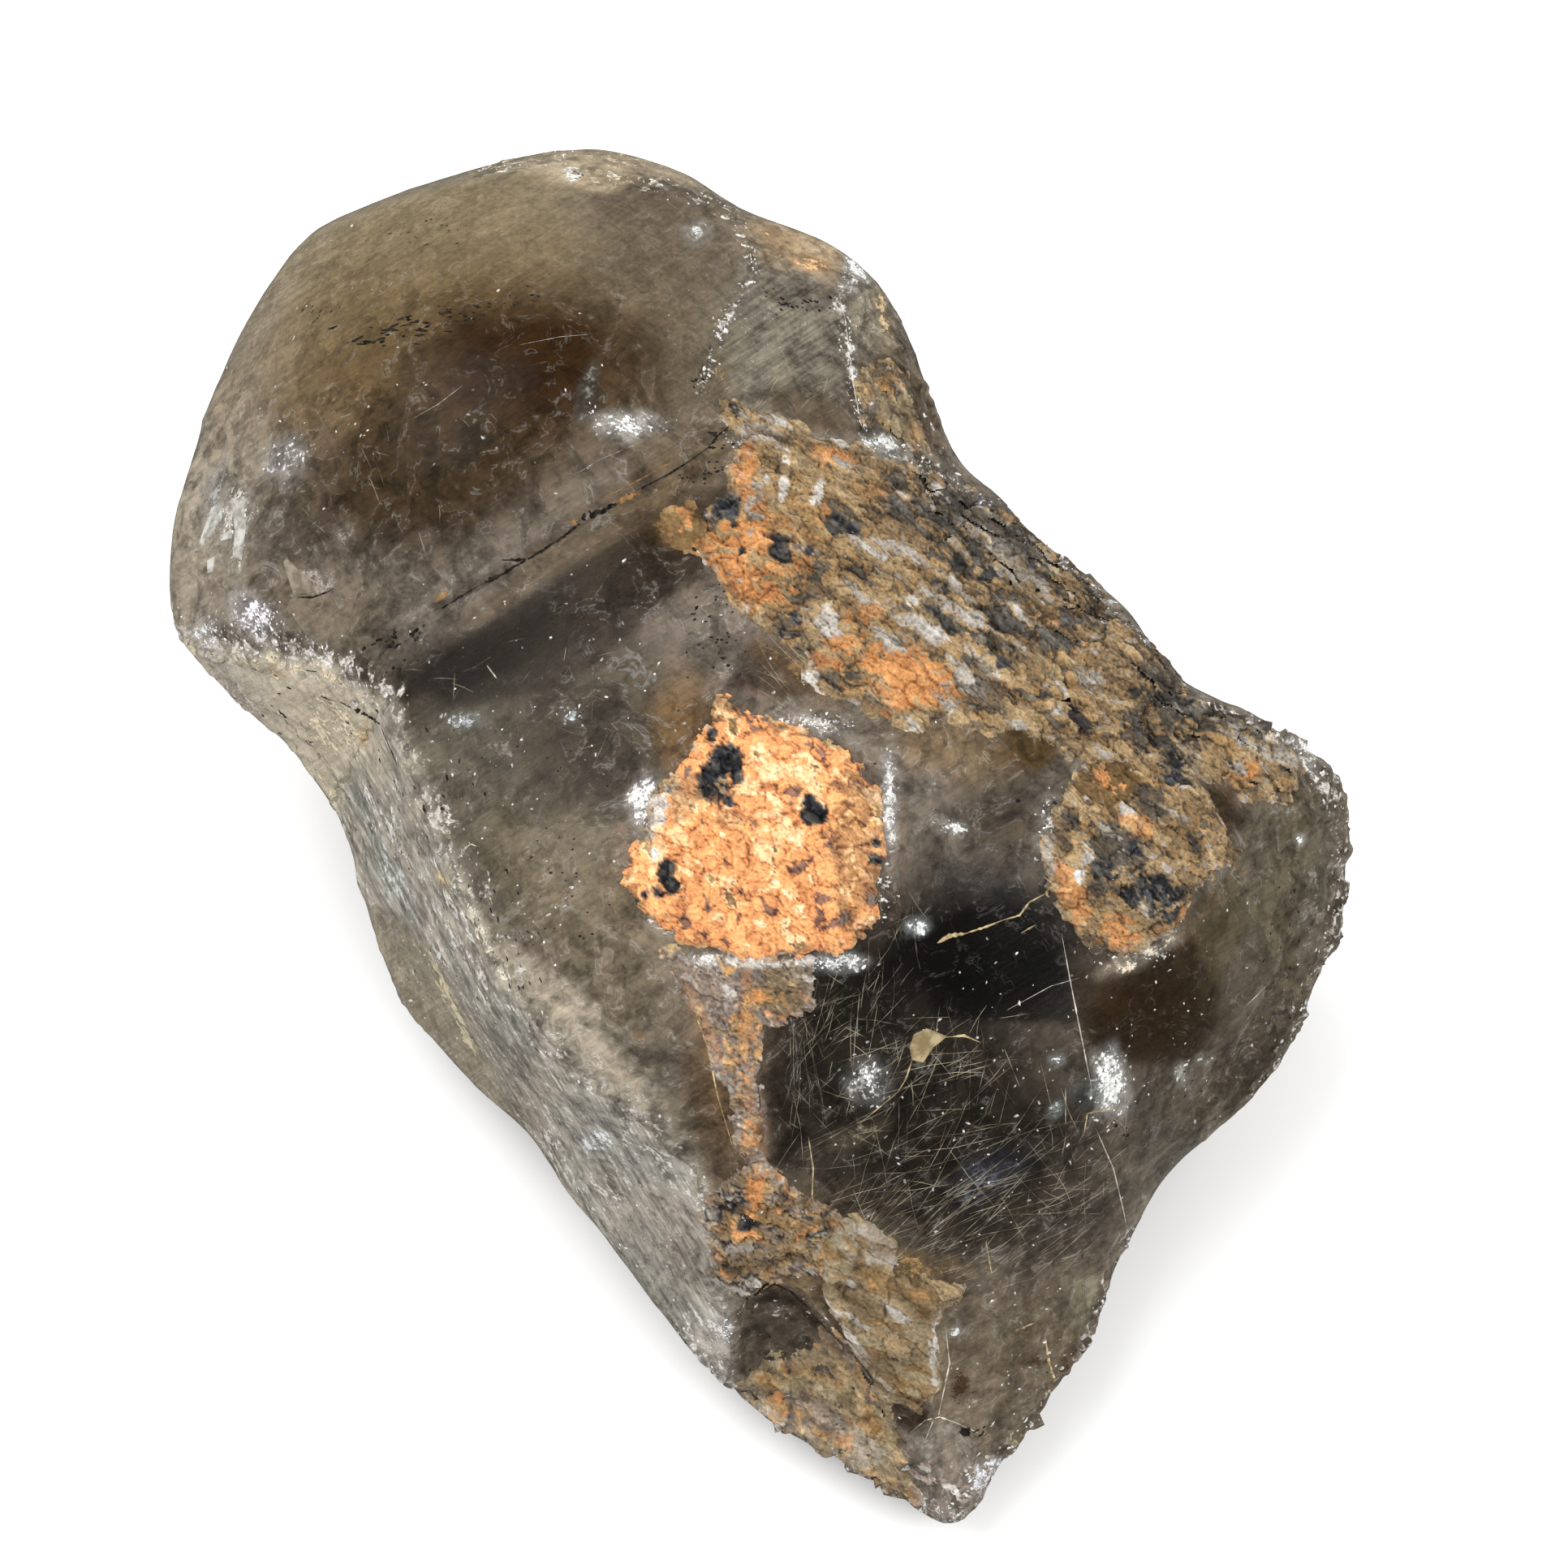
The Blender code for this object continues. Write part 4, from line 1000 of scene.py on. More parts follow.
# Where other ground shows on each crust: ground, centre, half sizes, turn, how much.
STAINS = {
    "main": [
        ("slaty", (884, 978), (26, 18), 0, 0.8), ("creamy", (960, 985), (58, 54), 20, 0.9),
        ("creamy", (824, 996), (24, 34), 10, 0.9), ("creamy", (822, 1040), (30, 60), 10, 0.8),
        ("icy", (800, 1000), (22, 42), 20, 0.9), ("tawny", (846, 985), (22, 34), 30, 0.5),
        ("icy", (870, 1182), (50, 12), 0, 0.9), ("icy", (950, 1186), (60, 9), 0, 0.8),
        ("frosty", (1000, 886), (60, 10), 25, 0.8), ("icy", (1032, 1186), (46, 12), -6, 0.9),
        ("frosty", (1094, 985), (10, 60), 0, 0.8), ("tawny", (1030, 900), (60, 16), 28, 0.8),
        ("ochre", (885, 870), (20, 18), 0, 0.7), ("ochre", (1052, 1040), (36, 90), 0, 0.6),
        ("ochre", (900, 1010), (22, 12), 0, 0.4),
    ],
    "saddle": [
        ("gritty", (1250, 740), (120, 86), 42, 1.0), ("gritty", (1140, 640), (70, 50), 30, 0.95),
        ("slaty", (1225, 655), (90, 22), 38, 0.95), ("slaty", (1170, 622), (26, 20), 30, 0.9),
        ("gritty", (1400, 860), (90, 60), 30, 1.0), ("tawny", (1350, 850), (60, 50), 20, 0.8),
        ("tawny", (1290, 845), (50, 50), 20, 0.7), ("ochre", (1280, 760), (34, 22), 20, 0.6),
        ("slaty", (1500, 888), (90, 20), 18, 1.0), ("frosty", (1560, 920), (70, 16), 24, 0.8),
        ("ochre", (1530, 950), (26, 26), 40, 0.9), ("rusty", (1535, 950), (12, 16), 40, 0.9),
        ("sooty", (1452, 935), (22, 26), 0, 0.8), ("sooty", (1330, 888), (22, 10), 40, 0.9),
        ("rusty", (926, 690), (66, 60), 40, 0.95), ("rusty", (915, 580), (18, 34), 12, 0.85),
        ("ochre", (985, 650), (40, 50), 30, 0.6), ("rusty", (1024, 566), (26, 14), 20, 0.85),
        ("rusty", (1112, 836), (58, 42), 8, 1.0), ("rusty", (1030, 806), (34, 22), -30, 0.8),
        ("creamy", (1096, 850), (34, 22), 0, 0.2), ("rusty", (940, 745), (34, 16), 40, 0.8),
        ("rusty", (1060, 760), (34, 12), -20, 0.6), ("ochre", (892, 502), (24, 14), 25, 0.9),
        ("frosty", (932, 535), (26, 12), 10, 0.8), ("icy", (967, 590), (6, 36), 6, 0.8),
        ("icy", (1005, 612), (7, 22), 20, 0.8), ("sandy", (985, 562), (12, 30), 0, 0.9),
        ("slaty", (1038, 650), (26, 13), 8, 1.0), ("frosty", (1140, 762), (40, 34), 40, 0.9),
        ("icy", (1146, 772), (30, 9), 42, 0.8), ("icy", (1124, 746), (12, 9), 40, 0.8),
        ("frosty", (1080, 545), (26, 10), 20, 0.9), ("frosty", (1240, 690), (80, 12), 40, 0.55),
        ("frosty", (1200, 820), (22, 40), -20, 0.6), ("slaty", (1215, 850), (24, 40), -20, 0.6),
        ("gritty", (1010, 735), (34, 18), 0, 0.5), ("icy", (1000, 834), (11, 9), 0, 1.0),
        ("icy", (1150, 604), (11, 9), 0, 1.0), ("tawny", (1090, 700), (50, 50), 30, 0.5),
        ("ochre", (1060, 600), (34, 20), 20, 0.6),
    ],
    "right": [
        ("slaty", (1378, 1046), (44, 32), 10, 0.9), ("sooty", (1420, 1104), (34, 26), 0, 0.6),
        ("rusty", (1320, 1100), (22, 50), -24, 0.8), ("rusty", (1375, 1150), (34, 22), 20, 0.8),
        ("rusty", (1445, 1130), (34, 12), -40, 0.7), ("rusty", (1400, 1016), (30, 16), 30, 0.6),
        ("amber_glass", (1364, 966), (46, 32), 0, 1.0), ("slaty", (1418, 985), (22, 18), 0, 0.8),
        ("gritty", (1310, 1020), (20, 40), 10, 0.7), ("icy", (1440, 1160), (60, 12), -36, 0.9),
        ("frosty", (1290, 1060), (10, 50), 0, 0.7), ("icy", (1330, 1080), (11, 10), 30, 1.0),
    ],
    "low": [
        ("rusty", (932, 1466), (13, 28), 0, 0.9), ("gritty", (1000, 1470), (40, 26), 0, 0.7),
        ("sooty", (918, 1508), (14, 7), 0, 0.9), ("tawny", (960, 1545), (70, 22), 0, 0.7),
        ("frosty", (875, 1530), (12, 40), 0, 0.6), ("rusty", (934, 1450), (14, 20), 0, 0.9),
    ],
    "cavity": [
        ("frosty", (1060, 1790), (40, 40), 40, 0.4), ("tawny", (985, 1684), (40, 14), 20, 0.7),
        ("rusty", (1040, 1775), (20, 14), 30, 0.6), ("frosty", (960, 1745), (50, 14), 30, 0.6),
        ("mauvy", (1000, 1745), (52, 30), 35, 0.7),
    ],
    "shell": [
        ("frosty", (1060, 1530), (44, 30), 20, 0.5), ("ochre", (1080, 1600), (50, 26), 40, 0.45),
        ("ochre", (1150, 1590), (40, 10), 5, 0.6), ("icy", (1040, 1640), (12, 60), -35, 0.7),
        ("icy", (1152, 1680), (9, 60), 0, 0.8),
    ],
    "streak": [
        ("rusty", (919, 1250), (9, 76), 0, 0.42), ("rusty", (924, 1370), (8, 60), 0, 0.4),
        ("icy", (940, 1184), (80, 8), 0, 1.0), ("sandy", (968, 1222), (30, 36), 0, 0.8),
    ],
    "rill": [
        ("rusty", (868, 1268), (12, 60), -24, 0.36), ("rusty", (924, 1400), (16, 30), 0, 0.9),
    ],
    "crag": [
        ("earthy", (1100, 476), (16, 16), 0, 0.9), ("gritty", (1070, 462), (10, 14), 0, 0.8),
    ],
    "tab": [
        ("rusty", (848, 648), (7, 11), -20, 0.8), ("rusty", (868, 676), (16, 16), 0, 0.7),
    ],
}

# Black blobs on the crusts: centre and radius in pixels.
BLOBS = [
    ((894, 940), 18), ((884, 960), 17), ((900, 924), 11), ((872, 976), 9), ((907, 955), 11),
    ((900, 988), 6), ((1003, 1001), 13), ((997, 986), 7), ((1012, 1008), 6), ((822, 1072), 10),
    ((824, 1088), 10), ((808, 1099), 8), ((795, 1102), 6), ((786, 1110), 4), ((762, 1108), 4),
    ((1076, 1056), 10), ((1078, 1042), 7), ((876, 861), 8), ((877, 905), 7), ((893, 622), 15),
    ((902, 634), 10), ((886, 634), 9), ((905, 648), 4), ((960, 676), 13), ((966, 684), 9),
    ((914, 683), 6), ((1034, 642), 9), ((1050, 652), 8), ((902, 552), 8), ((979, 765), 8),
    ((996, 680), 5), ((1413, 1100), 22), ((1428, 1112), 22), ((1398, 1108), 13), ((1436, 1128), 13),
    ((1368, 1078), 11), ((1352, 1072), 8), ((1455, 955), 16), ((1442, 962), 10), ((1330, 1010), 6),
    ((1395, 1045), 8), ((915, 1508), 8), ((924, 1506), 5), ((1232, 820), 9), ((1208, 712), 8),
]


def grain_colour(ground, level, choice):
    """The colours of a ground at levels from 0, its hollows and their painted shade, to 1, its tips."""
    colours, past = np.zeros((len(level), 3)), 0.0
    for stuff, share in MIXES[ground]:
        steps = np.array([linear(*colour) for colour in STUFF[stuff]])
        places = np.linspace(0, 1, len(steps))
        own = np.stack([np.interp(level, places, steps[:, k]) for k in range(3)], axis=1)
        chosen = (choice >= past) & (choice < past + share + 1e-6)
        colours[chosen] = own[chosen]
        past += share
    return colours


def blob_share(pixels, ragged):
    """1 on a black blob, 0 away from all of them."""
    most = np.zeros(len(pixels))
    for centre, radius in BLOBS:
        away = np.hypot(*(pixels - np.array(centre)).T)
        most = np.maximum(most, ramp(1.2, 0.85, away / radius + ragged))
    return most


class Sheet:
    """A fine sheet of points over the part of the skin that an outline takes in."""

    def __init__(self, tree, outline, reach):
        corners = np.array(outline, float)
        low, high = corners.min(axis=0) - reach, corners.max(axis=0) + reach
        across = np.arange(low[0], high[0], CRUST_PITCH)
        down = np.arange(low[1], high[1], CRUST_PITCH)
        pixels = np.stack(np.meshgrid(across, down), axis=-1).reshape(-1, 2)
        depth = outline_depth(pixels, outline)
        places, points, outward, kept = {}, [], [], []
        for i in np.flatnonzero(depth > -reach):
            hit, normal, _, _ = tree.ray_cast(Vector(CAMERA_PLACE), Vector(sight_line(*pixels[i])))
            if hit is not None:
                places[i] = len(points)
                points.append(hit)
                outward.append(normal)
                kept.append(i)
        self.faces = []
        for i in kept:
            ring = (i, i + len(across), i + len(across) + 1, i + 1)
            if all(corner in places for corner in ring):
                self.faces.append([places[corner] for corner in ring])
        self.points, self.pixels, self.depth = np.array(points), pixels[kept], depth[kept]
        self.drop_stretched()
        self.outward = self.even(np.array(outward))
        self.facing = facing_camera(self.points, self.outward)

    def drop_stretched(self):
        """Leaves out the faces that reach from one ledge to another far below it."""
        longest = LONGEST_FACE * CRUST_PITCH * PIXEL
        corners = self.points[np.array(self.faces)]
        spans = np.linalg.norm(corners - np.roll(corners, 1, axis=1), axis=2).max(axis=1)
        self.faces = [face for face, span in zip(self.faces, spans) if span < longest]

    def even(self, vectors, rounds=6):
        """Directions made smooth over the sheet."""
        faces = np.array(self.faces)
        first = faces.ravel()
        second = np.roll(faces, 1, axis=1).ravel()
        ties = np.bincount(np.concatenate([first, second]), minlength=len(vectors))
        ties = np.maximum(ties, 1)[:, None]
        for _ in range(rounds):
            total = np.zeros_like(vectors)
            np.add.at(total, first, vectors[second])
            np.add.at(total, second, vectors[first])
            vectors = (vectors + total / ties) / 2
        return vectors / np.linalg.norm(vectors, axis=1)[:, None]

    def mesh(self, name, points):
        mesh = bpy.data.meshes.new(name)
        mesh.from_pydata((points * MM).tolist(), [], self.faces)
        return mesh


CHIP_RUN = (CAMERA_UP * -0.75 + np.array([1.0, 0.0, 0.0])) / 1.25   # how long chips lie


def warped(points, stretch):
    """Places bent and drawn together along the run of the chips, so that chips come out long."""
    drawn = points - np.outer(points @ CHIP_RUN, CHIP_RUN) * (1 - 1 / stretch)
    bends = np.array([noise.noise_vector(p) for p in (points / 1.4).tolist()])
    return drawn + 0.45 * bends


def evened(values):
    """Values spread evenly from 0 to 1, their order kept."""
    return np.argsort(np.argsort(values)) / len(values)


def make_crust(name, tree, material):
    """A sheet of chips and grains that follows the skin, its ragged border sunk in the quartz."""
    ground, border_ground, rise, grain, rough, stretch, gap_shade = CRUSTS[name]
    sheet = Sheet(tree, OUTLINES[name], CRUST_MARGIN)
    points, pixels = sheet.points, sheet.pixels
    places = warped(points, stretch)
    ragged = noise_at(points, 3.0) + 0.6 * noise_at(points, 1.1, 4.0)
    chips, grains = Chips(places, grain), Chips(places, grain * 0.4, 5.0)
    fine = fractal_at(places, grain * 0.8, 5, 7.0)
    mix = chips.pick + 0.5 * grains.pick - 0.75
    gap = np.maximum(chips.gap, 0.4 * grains.gap)
    inside = sheet.depth + 9 * ragged + 9 * mix
    inside = np.minimum(inside, 70 * (sheet.facing - CRUST_FACING))
    blob = blob_share(pixels, 0.5 * ragged + 0.8 * mix)

    height = 0.9 * chips.height + 0.5 * grains.height + 0.35 * fine - 0.25 * gap
    lift = (rise + rough * height + 0.1 * mix - 0.1 * blob) * ramp(-4, 10, inside)
    lift -= CRUST_SINK * ramp(0, -10, inside)
    # the gaps between chips are darkened: painted shade
    level = np.clip(0.52 + 0.2 * mix + 0.24 * fine + 0.15 * ragged - gap_shade * gap, 0, 1)
    choice = evened(noise_at(places, 1.6, 8.0) + 0.6 * fine + 0.5 * chips.choice)
    colour = grain_colour(ground, level, choice)
    for other, centre, halves, turn, amount in STAINS.get(name, ()):
        reach = oval_reach(pixels, centre, halves, turn) + 0.3 * ragged + 0.3 * mix + 0.2 * fine
        shown = ramp(0.0, 0.3, ramp(1.3, 0.6, reach) - 0.7 * grains.pick - 0.3 * (1 - amount))
        colour = blend(colour, grain_colour(other, level, choice), shown * amount)
    edge = ramp(22, 0, inside) * ramp(0.2, 0.7, choice)
    colour = blend(colour, grain_colour(border_ground, level, grains.choice), 0.7 * edge)
    colour = blend(colour, grain_colour("sooty", level, grains.choice), blob)
    mesh = sheet.mesh("crust_" + name, points + sheet.outward * lift[:, None])
    tell_colour(mesh, "grain", colour)
    tell(mesh, "dull", 0.55 - 0.2 * blob)
    mesh.materials.append(material)
    keep_piece(mesh, "crust_" + name)


def keep_piece(mesh, name):
    """Adds a piece that rides with the lump."""
    piece = link(bpy.data.objects.new(name, mesh))
    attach(piece, BODY)
    return piece


# ---------------------------------------------------------------- threads, flakes and specks

class Bits:
    """Small closed solids that lie half sunk in the skin, joined into one mesh."""

    def __init__(self, tree):
        self.tree = tree
        self.points, self.faces = [], []

    def on_skin(self, x, y):
        """The place and the normal of the skin at a pixel, or nothing beside it."""
        hit, normal, _, _ = self.tree.ray_cast(Vector(CAMERA_PLACE), Vector(sight_line(x, y)))
        return (None, None) if hit is None else (np.array(hit), np.array(normal))

    def thread(self, line, width, lift, step, rng=None):
        """A thin ridge along a line in pixels. Its width and the step between its points are
        in pixels too, and a random source makes its width uneven."""
        spine = []
        for (x0, y0), (x1, y1) in zip(line, line[1:]):
            count = max(1, round(math.hypot(x1 - x0, y1 - y0) / step))
            spine += [(x0 + (x1 - x0) * k / count, y0 + (y1 - y0) * k / count)
                      for k in range(count)]
        spine.append(line[-1])
        hits = [self.on_skin(*place) for place in spine]
        hits = [(place, normal) for place, normal in hits if place is not None]
        if len(hits) < 2:
            return
        start = len(self.points)
        last = len(hits) - 1
        for k, (place, normal) in enumerate(hits):
            run = hits[min(k + 1, last)][0] - hits[max(k - 1, 0)][0]
            side = np.cross(normal, run)
            side /= np.linalg.norm(side) + 1e-9
            slim = math.sin(math.pi * (k + 0.5) / (last + 1)) ** 0.5
            half = width * PIXEL / 2 * slim * (rng.uniform(0.6, 1.3) if rng else 1)
            self.points += [place - side * half - normal * 0.02, place + normal * lift * slim,
                            place + side * half - normal * 0.02]
        for k in range(last):
            a = start + 3 * k
            self.faces += [(a, a + 3, a + 4, a + 1), (a + 1, a + 4, a + 5, a + 2),
                           (a + 2, a + 5, a + 3, a)]
        end = start + 3 * last
        self.faces += [(start, start + 1, start + 2), (end + 2, end + 1, end)]

    def flake(self, place, normal, size, lift, rng, corners=5, stretch=1.0, turn=None):
        """A low pyramid with an uneven foot."""
        side = np.cross(normal, (0.3, 0.9, 0.2))
        side /= np.linalg.norm(side)
        other = np.cross(normal, side)
        turn = rng.uniform(0, math.tau) if turn is None else turn
        start = len(self.points)
        for k in range(corners):
            angle = math.tau * (k + rng.uniform(-0.3, 0.3)) / corners
            reach = size * rng.uniform(0.6, 1.2)
            u, v = reach * stretch * math.cos(angle), reach * math.sin(angle)
            flat = (side * (u * math.cos(turn) - v * math.sin(turn))
                    + other * (u * math.sin(turn) + v * math.cos(turn)))
            self.points.append(place + flat - normal * (0.02 + 0.1 * size))
        lean = side * rng.uniform(-0.4, 0.4) * size + other * rng.uniform(-0.4, 0.4) * size
        self.points.append(place + lean + normal * lift)
        self.faces += [(start + k, start + (k + 1) % corners, start + corners)
                       for k in range(corners)]
        self.faces.append(tuple(start + k for k in reversed(range(corners))))

    def flake_at(self, x, y, size, lift, rng, **shape):
        """A flake at a pixel; its size is in pixels too."""
        place, normal = self.on_skin(x, y)
        if place is not None:
            self.flake(place, normal, size * PIXEL, lift, rng, **shape)

    def pane(self, corners):
        """A thin plate with bevelled edges between corners in pixels."""
        middle = np.mean(corners, axis=0)
        edge = [self.on_skin(*corner) for corner in corners]
        inner = [self.on_skin(*(middle + 0.84 * (np.array(corner) - middle))) for corner in corners]
        top, normal = self.on_skin(*middle)
        if normal is None or any(place is None for place, _ in edge + inner):
            return
        start, count = len(self.points), len(corners)
        self.points += [place - normal * 0.15 for place, _ in edge]
        self.points += [place + normal * 0.12 for place, _ in inner]
        self.points += [top + normal * 0.14, top - normal * 0.4]
        for k in range(count):
            after = (k + 1) % count
            self.faces += [(start + after, start + k, start + count + k, start + count + after),
                           (start + count + after, start + count + k, start + 2 * count),
                           (start + k, start + after, start + 2 * count + 1)]

    def make(self, name, material):
        mesh = bpy.data.meshes.new(name)
        mesh.from_pydata([tuple(point * MM) for point in self.points], [], self.faces)
        mesh.materials.append(material)
        keep_piece(mesh, name)


def around_place(centre, halves, draw):
    """A place near a centre, each way by a draw times the half size."""
    return [middle + half * draw() for middle, half in zip(centre, halves)]


def along(line, share):
    """The place at a share of a line's length."""
    runs = [math.dist(a, b) for a, b in zip(line, line[1:])]
    left = share * sum(runs)
    for (a, b), run in zip(zip(line, line[1:]), runs):
        if left <= run:
            return (a[0] + (b[0] - a[0]) * left / run, a[1] + (b[1] - a[1]) * left / run)
        left -= run
    return line[-1]


# Bundles of needles: centre and half sizes of the place, heading (degrees, up to the right),
# its spread, shortest and longest, how many.
NEEDLES = [
    ((1180, 1500), (150, 50), 33, 26, 40, 160, 76), ((1250, 1440), (120, 60), 30, 34, 34, 130, 34),
    ((1090, 1440), (90, 60), 36, 44, 30, 110, 28), ((1190, 1400), (150, 110), 100, 60, 20, 110, 30),
    ((1150, 1350), (90, 60), 30, 60, 20, 90, 50), ((1006, 1310), (46, 84), 70, 120, 12, 56, 46),
    ((1010, 1330), (50, 90), 84, 24, 40, 120, 14), ((1040, 1240), (60, 40), 60, 70, 20, 70, 36),
    ((1230, 1560), (110, 24), 24, 16, 30, 90, 30), ((1180, 1290), (80, 40), 45, 70, 15, 60, 24),
    ((1100, 1150), (40, 60), 70, 60, 20, 60, 26), ((1340, 1420), (50, 70), 60, 60, 15, 60, 24),
    ((960, 470), (80, 60), 35, 30, 15, 50, 50), ((640, 850), (130, 70), 20, 90, 10, 36, 30),
    ((470, 600), (110, 90), -50, 40, 12, 40, 16), ((1010, 830), (60, 40), -40, 20, 40, 110, 34),
]


NEEDLE_WIDTH = 1.45         # the widest needle (pixels)


def make_needles(tree, rng):
    """Thin straight needles, slightly bowed, in bundles."""
    bits = Bits(tree)
    for centre, halves, heading, spread, shortest, longest, count in NEEDLES:
        for _ in range(count):
            x, y = around_place(centre, halves, lambda: rng.uniform(-1, 1))
            angle = math.radians(heading + rng.gauss(0, spread / 2))
            half = rng.uniform(shortest, longest) / 2
            bow = rng.uniform(-0.08, 0.08) * half
            run = (math.cos(angle), -math.sin(angle))
            line = [(x + run[0] * half * t - run[1] * bow * (1 - t * t),
                     y + run[1] * half * t + run[0] * bow * (1 - t * t)) for t in (-1, 0, 1)]
            bits.thread(line, NEEDLE_WIDTH * rng.uniform(0.5, 1.0) ** 2, lift=0.02, step=9.0)
    bits.make("needles", bit_material("needle"))


# Pale scratches and healed cracks: their points and their width.
PALE_LINES = [
    ([(1308, 1150), (1320, 1215), (1335, 1290), (1345, 1340)], 2.4),
    ([(1350, 1390), (1372, 1440), (1384, 1490), (1392, 1530)], 2.2),
    ([(1034, 362), (1042, 396), (1046, 432), (1053, 482), (1062, 526)], 3.4),
    ([(510, 515), (540, 498), (570, 475)], 1.0), ([(640, 425), (690, 415), (725, 412)], 0.8),
    ([(700, 590), (740, 566), (790, 545)], 0.9), ([(1165, 1635), (1170, 1680), (1156, 1746)], 2.2),
    ([(1122, 1765), (1140, 1750), (1158, 1746), (1180, 1754), (1206, 1766)], 2.0),
    ([(1133, 1660), (1140, 1700), (1150, 1735)], 1.4), ([(1150, 1750), (1140, 1775)], 1.5),
    ([(1240, 1245), (1295, 1215), (1330, 1205)], 1.2), ([(1535, 1240), (1565, 1210)], 1.4),
    ([(1313, 1340), (1313, 1385)], 1.3), ([(600, 820), (612, 836)], 2.4),
    ([(552, 1010), (566, 1012)], 2.2), ([(572, 1046), (580, 1040), (588, 1043)], 2.2),
]
# Cream shreds and threads, in the same way.
CREAM_LINES = [
    ([(1155, 1162), (1170, 1153), (1192, 1150)], 7.0), ([(1190, 1150), (1215, 1142), (1235, 1134)], 3.6),
    ([(1235, 1134), (1256, 1128), (1268, 1112), (1290, 1100)], 3.4), ([(1258, 1150), (1275, 1140)], 2.6),
    ([(1166, 1278), (1188, 1276), (1207, 1284)], 4.0), ([(1124, 1306), (1116, 1330), (1106, 1346)], 3.0),
    ([(1106, 1346), (1060, 1384)], 1.6), ([(1288, 1648), (1292, 1675), (1300, 1702)], 4.5),
    ([(1292, 1710), (1298, 1728)], 4.0), ([(1380, 1365), (1340, 1372), (1335, 1400)], 3.0),
    ([(1250, 1640), (1275, 1630)], 3.0),
    ([(838, 1180), (850, 1230), (872, 1290), (884, 1350), (905, 1420)], 2.4),
    ([(868, 1200), (880, 1250), (902, 1300)], 1.8), ([(996, 1400), (1002, 1440), (1000, 1490)], 2.6),
    ([(1215, 1530), (1222, 1570)], 3.0),
]
# The dark vein and other dark seams, in the same way; the lines along the top of the hollow and
# the shell are painted shadow under their ledges.
DARK_LINES = [
    ([(905, 520), (885, 536), (872, 552), (850, 568), (820, 586), (770, 612)], 2.6),
    ([(760, 620), (745, 628), (728, 634), (714, 640)], 10.0), ([(716, 644), (700, 656), (684, 668)], 5.0),
    ([(684, 668), (655, 686), (634, 698)], 4.0), ([(650, 688), (634, 690), (618, 690)], 4.0),
    ([(636, 696), (618, 708), (592, 720)], 6.0), ([(592, 720), (566, 736), (540, 752)], 3.4),
    ([(366, 736), (385, 736), (402, 730), (412, 725)], 3.6),
    ([(1318, 876), (1332, 884), (1342, 898)], 9.0), ([(1345, 898), (1366, 902)], 5.0),
    # painted shadow under the ledges of the hollow and the shell
    ([(935, 1592), (955, 1582), (975, 1592), (1000, 1615)], 6.0),
    ([(1000, 1618), (1020, 1640), (1032, 1662)], 4.0), ([(1052, 1668), (1075, 1700), (1078, 1716)], 3.5),
    ([(376, 826), (392, 828)], 3.0), ([(420, 866), (450, 880), (468, 892)], 8.0),
    ([(395, 858), (412, 864)], 3.6), ([(470, 898), (482, 925), (490, 945)], 5.0),
    ([(1010, 1132), (1030, 1128), (1042, 1134)], 2.0), ([(915, 1050), (932, 1062), (940, 1060)], 2.0),
    ([(852, 1094), (866, 1102), (872, 1114)], 2.0), ([(960, 1092), (985, 1098)], 1.8),
    ([(950, 1130), (975, 1140), (990, 1138)], 1.8), ([(1208, 690), (1236, 698)], 5.0),
    ([(712, 1690), (716, 1700)], 2.0),
]
# Honey-coloured stretches along the vein, in the same way.
HONEY_LINES = [
    ([(790, 604), (770, 614), (752, 624)], 8.0), ([(712, 640), (700, 648)], 7.0),
    ([(552, 728), (536, 742)], 8.0), ([(905, 510), (925, 522)], 10.0),
    ([(845, 560), (790, 590), (740, 616)], 3.0),
]

